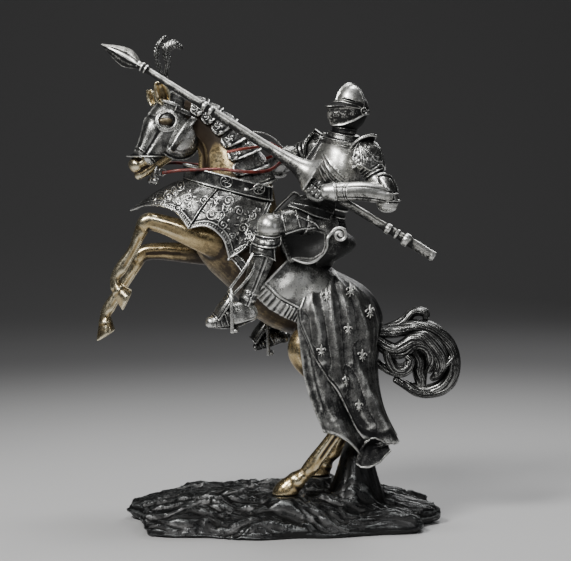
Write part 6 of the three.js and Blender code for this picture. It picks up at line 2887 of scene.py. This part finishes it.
@dataclass
class Stirrups(SubAssembly):
    """The stirrups, hooded at the toe, and the straps that they hang from."""

    tread: tuple[float, float, float] = (-36, -45, 134.5)
    far_shift: tuple[float, float, float] = (27, 88.5, -29)
    hood: Sequence[Stations] = (
        ((-37.5, -54, 158), (-40.5, -55, 153), (-44, -55, 147.5), (-47.5, -54.5, 142)),
        ((-39, -52, 162), (-43, -53, 156.5), (-47, -53, 150.5), (-50, -52.5, 145)),
        ((-40.5, -45, 164.5), (-45, -45, 158.5), (-49.5, -46, 152.5), (-52.5, -46.5, 147)),
        ((-39, -38, 162), (-43, -37, 156.5), (-47, -38, 150.5), (-50, -39, 145)),
        ((-37.5, -36, 158), (-40.5, -35, 153), (-44, -36, 147.5), (-47.5, -37, 142)),
    )
    straps: Sequence[Stations] = (
        ((-21.6, -46, 194), (-28.5, -48.5, 182), (-39.5, -48, 167)),
        ((-18.5, -46, 188), (-24.5, -47, 176), (-37, -46, 162)),
    )
    tab: Sequence[Stations] = (
        ((-40, -25, 190), (-35, -27, 184), (-30, -29, 177.5)),
        ((-33.8, -28, 192.5), (-29, -30, 188), (-25.2, -31, 183)),
    )

    def strap_edges(self, share: Array, turn: Array) -> Array:
        """The raised edges of a strap."""
        return 0.3 * np.abs(np.cos(turn)) ** 6

    def stirrup(self) -> list[Piece]:
        """Models one stirrup: tread, side bars, hood, ring and straps.

        Returns:
            The new objects.
        """
        x, y, z = self.tread
        tread = Limb(
            ((x, y - 10, z, 1.2, 2.6), (x, y, z - 0.6, 1.4, 3.2), (x, y + 10, z, 1.2, 2.6)), (1, 0, 0)
        )
        pieces = [tread.model(24, 30, power=4.0), plate(self.hood, (26, 24), None, rim=1.0)]
        for hand in (-1, 1):
            bar = ((x - 1.5, y + hand * 10.2, z - 1, 1.0, 1.5), (x - 2, y + hand * 10.6, z + 14, 0.9, 1.3),
                   (x - 2.2, y + hand * 9, z + 27, 0.9, 1.4), (x - 3, y + hand * 2, z + 33, 0.9, 1.4))
            pieces.append(Limb(bar, (1, 0, 0)).model(18, 60, power=3.0))
        for strap in self.straps:
            rows = [(*point, 0.6, 0.8) for point in strap]
            pieces.append(Limb(rows, (0.8, 0, 0.6)).model(20, 70, self.strap_edges, power=4.0))
        pieces.append(ring_bar((x - 3, y, z + 32.5), (0.9, 0.2, -0.4), 2.6, 0.8))
        return pieces

    def build(self) -> None:
        """Models both stirrups and dresses them."""
        near = [
            *self.stirrup(), plate(self.tab, (15, 8), None, rim=0.8),
            ring_bar((-25, -48, 163), (0.3, -1, 0), 1.3, 0.5)
        ]
        far = joined(self.stirrup())
        put(far, figure_places(far) + np.array(self.far_shift))
        whole = joined(near)
        dark = smooth_step(-figure_places(whole)[:, 0], 41, 43)
        self.settle(whole, "near_stirrup", SILVER, painted_shade_and_stain=0.25 * dark)
        # The far stirrup takes the blackened paint: painted shade of the far side.
        self.settle(far, "far_stirrup", DARK_SILVER)


# What the rider holds


@dataclass
class Lance(SubAssembly):
    """The lance: leaf head, tapering shaft, cone guard and turned rear rod."""

    node: str = "lance"
    tip: tuple[float, float, float] = (-138, -34, 357.5)
    guard: tuple[float, float, float] = (25, -40, 254)
    rear: tuple[float, float, float] = (20, -39.7, 251.7)
    butt: tuple[float, float, float] = (119, -44, 191)
    grip: float = 3.1
    head: float = 36.0
    head_radius: float = 7.4
    droop: float = 2.4
    # Share of the head's length and half-width of the leaf.
    leaf: Sequence[tuple[float, float]] = (
        (0.012, 0.5), (0.16, 2.6), (0.34, 5.0), (0.52, 6.9), (0.66, 7.3), (0.8, 5.6), (0.92, 3.3), (1.0, 2.6),
    )
    collar: Sequence[tuple[float, float]] = (
        (2.6, -4), (3.2, -1), (3.9, 0), (3.9, 0.6), (3.4, 1.2),
        (3.4, 2.6), (3.9, 3.2), (3.9, 4), (3.1, 4.6), (2.7, 5.2),
    )
    rings: Sequence[tuple[float, float]] = (
        (3.1, 55), (4.0, 56), (4.3, 56.8), (4.3, 58.4), (3.8, 59.2), (3.3, 60), (3.3, 61.6), (4.0, 62.4),
        (4.1, 63.2), (4.1, 64.4), (3.5, 65.4),
    )
    flare: Sequence[tuple[float, float]] = (
        (50, 3.5), (38, 3.9), (28, 4.6), (20, 5.6), (14, 6.9), (9, 8.8), (5.6, 10.8), (3.2, 12.8),
        (1.9, 13.9), (1.3, 14.5), (0.4, 14.5), (0.0, 13.9), (0.2, 13.0), (1.6, 8.7), (2.6, 3.8),
    )
    knops: Sequence[tuple[float, float]] = (
        (46, 1.0), (44.5, 1.1), (43.6, 1.32), (40.6, 1.32), (39.8, 1.1), (39, 1.0), (36, 1.0), (35.2, 1.25),
        (33.6, 1.25), (32.8, 1.0), (29, 1.1), (28, 1.5), (27, 1.65), (24, 1.65), (23, 1.5), (21.5, 1.3),
        (4, 1.24), (2, 1.3), (0.6, 1.2), (0.0, 0.9),
    )

    def blade(self) -> Piece:
        """Models the leaf head with its mid rib.

        Returns:
            The new object.
        """
        along = unit(np.array(self.guard, float) - np.array(self.tip, float))
        down = np.array([0, 0, -1.0])
        down = unit(down - along * (along @ down))
        rows = []
        for share, wide in self.leaf:
            fall = self.droop * max(0.0, 1 - share * self.head / (self.head + 7)) ** 2
            spot = np.array(self.tip) + along * share * self.head + down * fall
            deep = 2.6 if share > 0.9 else 0.5 + 3.0 * share
            rows.append((*spot, deep, wide * self.head_radius / 7.4))

        def rib(share: Array, turn: Array) -> Array:
            """The rib down the middle of each face and the hollow on each side of it.

            Args:
                share: places along it, from 0 to 1.
                turn: angle round it.

            Returns:
                What stands proud, in millimetres.
            """
            faces = hollow(turn, 0.5 * math.pi, 0.16) + hollow(turn, -0.5 * math.pi, 0.16)
            beside = sum(
                hollow(turn, 0.5 * math.pi * up + hand * 0.5, 0.2) for up in (-1, 1) for hand in (-1, 1)
            )
            return (0.9 * faces - 0.5 * beside) * smooth_step(share, 0.05, 0.3)

        return Limb(rows, tuple(down)).model(64, 90, rib, cap=0.02, bulge=0.2, power=1.15)

    def build(self) -> None:
        """Models the lance and dresses it."""
        length = float(np.linalg.norm(np.array(self.guard) - np.array(self.tip)))
        steps = [(radius, self.head + past) for radius, past in (*self.collar, *self.rings)]
        steps += [(radius, length - back) for back, radius in self.flare]
        fore = laid(turned_bar(steps, 48, 1.6), self.tip, self.guard)
        end = float(np.linalg.norm(np.array(self.butt) - np.array(self.rear)))
        steps = [(self.grip, 0)] + [(self.grip * wide, end - back) for back, wide in self.knops]
        rod = laid(turned_bar(steps, 40, 1.6), self.rear, self.butt)
        # The lower side gets a strong painted shade.
        self.settle(
            joined([self.blade(), fore, rod]), "lance_turned", STEEL, crease=40, painted_shade_and_stain=-0.1,
            under=(1.3, 0.75)
        )


@dataclass
class Reins(SubAssembly):
    """The red straps of the bridle."""

    near: Stations = (
        (-93, -18, 255.5), (-80, -22, 257.5), (-64, -22, 258.2), (-46, -25, 258.6), (-26, -25, 256.5),
        (-10, -17, 257.5), (0, -9, 264), (5, -6, 270),
    )
    far: Stations = (
        (-108, 2, 254), (-92, 18, 262), (-66, 19, 261), (-46, 25, 260), (-28, 26, 262), (-12, 18, 266),
        (-2, 6, 270), (3, 1, 271),
    )
    upper: Stations = (
        (-42, -26, 272), (-30, -25, 274.5), (-16, -20, 276.5), (-10, -16, 279), (-3, -10, 276), (3, -6, 272),
    )
    thong: Stations = ((-22, -12, 288), (-12, -10, 286), (-4, -8, 281), (3, -6, 273))
    width: float = 2.3
    thickness: float = 1.5

    def strap(self, points: Stations, width: float, thickness: float) -> Piece:
        """Models a flat strap with stitched, rounded edges.

        Args:
            points: its points.
            width: its width.
            thickness: its thickness.

        Returns:
            The new object.
        """
        rows = [(*point, 0.5 * thickness, 0.5 * width) for point in points]

        def edges(share: Array, turn: Array) -> Array:
            """The turned edges and the groove inside them."""
            return 0.12 * np.abs(np.cos(turn)) ** 8 - 0.08 * bump(np.abs(np.cos(turn)), 0.75, 0.08)

        return Limb(rows, (0.0, 0.25, 1.0)).model(24, 110, edges, cap=0.02, bulge=0.3, power=4.0)

    def build(self) -> None:
        """Models the straps and dresses them."""
        for name, points in (("rein_near", self.near), ("rein_far", self.far)):
            self.node = name
            self.settle(self.strap(points, self.width, self.thickness), f"{name}_strap", RED_STRAP)
        self.node = CASTING
        self.settle(self.strap(self.upper, 2.0, 1.2), "rein_upper_strap", RED_STRAP)
        self.settle(tube(self.thong, 0.6, 10, 60), "rein_thong", DARK_SILVER)


# The rock


@dataclass
class Rock(SubAssembly):
    """The slab of layered rock, with the stump that backs the cloth."""

    node: str = "rock_base"
    length: float = 246.0
    depth: float = 124.0
    rim: float = 13.0
    ground: float = 28.0
    stump: float = 40.0
    stump_at: tuple[float, float, float] = (62, 0, 19)
    pads: Sequence[tuple[float, float, float, float]] = ((4, -22, 0, 15), (30, 18, 8, 14))
    cells: tuple[int, int] = (380, 190)
    brow: float = 0.9  # the part of the grid that is the top; the rest falls to the underside

    def outline(self, turn: Array) -> Array:
        """How far the ragged edge stands out at each angle, as a share.

        Args:
            turn: angle round the slab.

        Returns:
            One share for each angle.
        """
        ragged = 1 + 0.05 * np.sin(3 * turn + 1) + 0.035 * np.sin(7 * turn) + 0.03 * np.sin(11 * turn + 2)
        squircle = (np.abs(np.cos(turn)) ** 3 + np.abs(np.sin(turn)) ** 3) ** (-1 / 3)
        return ragged * squircle * 0.95

    def height(self, x: Array, y: Array, edge: Array) -> Array:
        """The height of the top in millimetres, with its strata.

        Args:
            x: along the slab.
            y: across the slab.
            edge: share of the way out to the rim.

        Returns:
            The heights.
        """
        strata = 2.4 * np.sin(x * 0.07 + 2.1 * np.sin(y * 0.09)) + 1.6 * np.sin(y * 0.31 + x * 0.05)
        slope = (self.ground - self.rim) * (1 - edge**2.6) + 7 * edge * (y / (0.5 * self.depth))
        height = self.rim + slope + strata * (1 - 0.4 * edge)
        warp = np.column_stack([x, y])
        bend = 7 * layered_noise(warp, (60, 30), 2, 3)
        slate = np.column_stack([x + 0.6 * bend, y + 0.12 * x + bend])
        ridges = 1 - np.abs(layered_noise(slate, (46, 8.5), 4, 17)) * 1.6
        flakes = 1 - np.abs(layered_noise(slate + 90, (19, 4.2), 3, 29)) * 1.5
        carve = 3.4 * (np.maximum(ridges, 0) ** 1.5 - 0.55) + 1.4 * (np.maximum(flakes, 0) ** 1.5 - 0.5)
        calm = np.ones_like(x)
        for px, py, rise, reach in self.pads:
            near = np.hypot(x - px, y - py) / reach
            calm = np.minimum(calm, smooth_step(near, 0.8, 1.4))
            blend = smooth_step(near, 0.9, 1.5)
            height = (self.ground + rise) * (1 - blend) + height * blend
        sx, sy, reach = self.stump_at
        lean = np.hypot(x - sx, (y - sy) / 1.1) / reach
        column = 1 - smooth_step(lean, 0.4, 1.25)
        turn = np.arctan2(y - sy, x - sx)
        roots = 2.6 * (np.abs(np.sin(4.5 * turn + 0.7 * np.sin(3 * turn))) - 0.5) * bump(lean, 0.95, 0.45)
        return height + (self.stump + strata) * column + carve * calm * (1 - 0.8 * column) + roots * calm

    def build(self) -> None:
        """Models the rock from a grid: its top, its broken side and its flat underside."""
        deselect()
        bpy.ops.mesh.primitive_grid_add(x_subdivisions=self.cells[0], y_subdivisions=self.cells[1], size=2.0)
        piece = bpy.context.active_object
        flat = coordinates(piece)[:, :2]
        edge = np.abs(flat).max(axis=1)
        turn = np.arctan2(flat[:, 1], flat[:, 0])
        # Squares of the grid become rounder towards the edge, so that its cells stay even.
        reach = self.outline(turn)
        share = np.minimum(edge / self.brow, 1.0)
        side = np.clip((edge - self.brow) / (1 - self.brow), 0.0, 1.0)
        x = 0.5 * self.length * reach * share * np.cos(turn)
        y = 0.5 * self.depth * reach * share * np.sin(turn)
        top = self.height(x, y, share)
        level = np.column_stack([turn * 90, top * (1 - side) * 1.0])
        shelves = layered_noise(level, (34, 3.6), 4, 51)
        out = 1 + side * (1 - side) * 0.06 + 0.022 * shelves * smooth_step(edge, 0.8, 0.93) - 0.03 * side**3
        places = np.column_stack([x * out, y * out, top * (1 - side) ** 1.1])
        places[:, :2] *= np.minimum(1.0, np.array([0.5 * self.length, 0.5 * self.depth]) * 1.05
                                    / np.maximum(np.abs(places[:, :2]), 1e-6))
        piece.data.vertices.foreach_set("co", (places * MM).ravel())
        piece.data.update()
        choose(piece)
        bpy.ops.object.mode_set(mode="EDIT")
        bpy.ops.mesh.select_all(action="DESELECT")
        bpy.ops.mesh.select_mode(type="EDGE")
        bpy.ops.mesh.select_non_manifold()
        bpy.ops.mesh.edge_face_add()
        bpy.ops.mesh.select_all(action="SELECT")
        bpy.ops.mesh.normals_make_consistent(inside=False)
        bpy.ops.object.mode_set(mode="OBJECT")
        self.settle(piece, "rock_slab", ROCK, painted_shade_and_stain=0.3)


# The studio


@dataclass
class Studio:
    """A floor that sweeps up behind, pale in the middle with a painted falloff of light, soft lights and the
    camera.
    """

    distance: float = 1.5
    elevation: float = math.radians(5)
    target: tuple[float, float, float] = (0.0036, 0.0, 0.197)
    seen: float = 0.4568  # width of the picture at the target, in metres

    def camera(self) -> None:
        """Places the camera at the photograph's angle."""
        data = bpy.data.cameras.new("camera")
        data.sensor_width = 36.0
        data.lens = data.sensor_width * self.distance / self.seen
        data.clip_start = 0.05
        camera = bpy.data.objects.new("camera", data)
        bpy.context.collection.objects.link(camera)
        away = Vector((0.0, -math.cos(self.elevation), math.sin(self.elevation))) * self.distance
        camera.location = Vector(self.target) + away
        camera.rotation_euler = (-away).to_track_quat("-Z", "Y").to_euler()
        bpy.context.scene.camera = camera

    def light(
        self, name: str, place: Sequence[float], size: float, power: float, tint: Sequence[float]
    ) -> None:
        """Adds a soft light that looks at the statuette.

        Args:
            name: its name.
            place: where it hangs, in metres.
            size: its width in metres.
            power: its power in watts.
            tint: its colour.
        """
        data = bpy.data.lights.new(name, "AREA")
        data.size = size
        data.energy = power
        data.color = tint
        lamp = bpy.data.objects.new(name, data)
        bpy.context.collection.objects.link(lamp)
        lamp.location = place
        lamp.rotation_euler = (Vector(self.target) - Vector(place)).to_track_quat("-Z", "Y").to_euler()

    def floor(self) -> None:
        """Models the floor and its sweep from a grid, pale in the middle and darkening away from it: a
        painted falloff of light.
        """
        deselect()
        bpy.ops.mesh.primitive_grid_add(x_subdivisions=8, y_subdivisions=80, size=1.0)
        floor = bpy.context.active_object
        flat = coordinates(floor)
        along = (flat[:, 1] + 0.5) * 7.0 - 2.6
        bend, radius = 1.5, 1.2
        angle = np.clip((along - bend) / radius, 0.0, 0.5 * math.pi)
        up = np.maximum(0.0, along - bend - 0.5 * math.pi * radius)
        y = np.minimum(along, bend) + radius * np.sin(angle)
        places = np.column_stack([flat[:, 0] * 9.0, y, radius * (1 - np.cos(angle)) + up])
        floor.data.vertices.foreach_set("co", places.ravel())
        floor.name = "studio_floor"
        bpy.ops.object.shade_smooth()
        material = bpy.data.materials.new("floor_with_painted_falloff")
        material.use_nodes = True
        tree = material.node_tree
        shader = tree.nodes["Principled BSDF"]
        place = tree.nodes.new("ShaderNodeTexCoord").outputs["Object"]
        cloud = noise_node(tree, place, 3.0, 3.0, 0.5)
        far = tree.nodes.new("ShaderNodeVectorMath")
        far.operation = "LENGTH"
        tree.links.new(place, far.inputs[0])
        pale = mix_node(tree, cloud, (0.50, 0.50, 0.505), (0.55, 0.55, 0.55))
        # The floor darkens away from its middle: a painted falloff of light.
        fall = ramp_node(tree, far.outputs["Value"], 0.22, 1.1)
        tree.links.new(mix_node(tree, fall, pale, (0.13, 0.13, 0.132)), shader.inputs["Base Color"])
        shader.inputs["Roughness"].default_value = 0.7
        floor.data.materials.append(material)
        floor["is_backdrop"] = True

    def lights(self) -> None:
        """Lights the statuette from the front left and above, with a weak fill and a rim light."""
        self.light("key", (-0.8, -0.9, 1.3), 0.4, 24.0, (1.0, 0.99, 0.97))
        self.light("front", (-0.1, -1.35, 0.95), 0.35, 5.5, (1.0, 1.0, 0.99))
        self.light("top", (0.2, 0.1, 1.5), 0.5, 10.0, (1.0, 1.0, 1.0))
        self.light("fill", (1.3, -0.9, 0.5), 0.6, 0.9, (0.97, 0.98, 1.0))
        self.light("rim", (0.5, 1.1, 0.9), 0.5, 5.0, (1.0, 1.0, 1.0))
        world = bpy.context.scene.world or bpy.data.worlds.new("studio")
        bpy.context.scene.world = world
        world.use_nodes = True
        background = world.node_tree.nodes["Background"]
        background.inputs["Color"].default_value = (0.5, 0.51, 0.53, 1.0)
        background.inputs["Strength"].default_value = 0.035


def main() -> None:
    """Builds the statuette around the frame, piece by piece."""
    logging.basicConfig(level=logging.INFO, format="%(name)s: %(message)s")
    studio = Studio()
    studio.camera()
    grain_group()
    wear_group()
    parts: Iterable[SubAssembly] = (
        Horse(), HeadArmour(), NeckPlates(), BreastPlate(), SaddleCloth(), RearCloth(), Tail(), Saddle(),
        Helmet(), Body(), Arms(), Legs(), Stirrups(), Lance(), Reins(), Rock(),
    )
    for part in parts:
        LOG.info("building %s", type(part).__name__)
        part.build()
    studio.floor()
    studio.lights()
    boxes = {"cad": CAD_BOX, "visual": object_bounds()}
    plain = {name: [list(map(float, corner)) for corner in box] for name, box in boxes.items()}


if __name__ == "__main__":
    main()
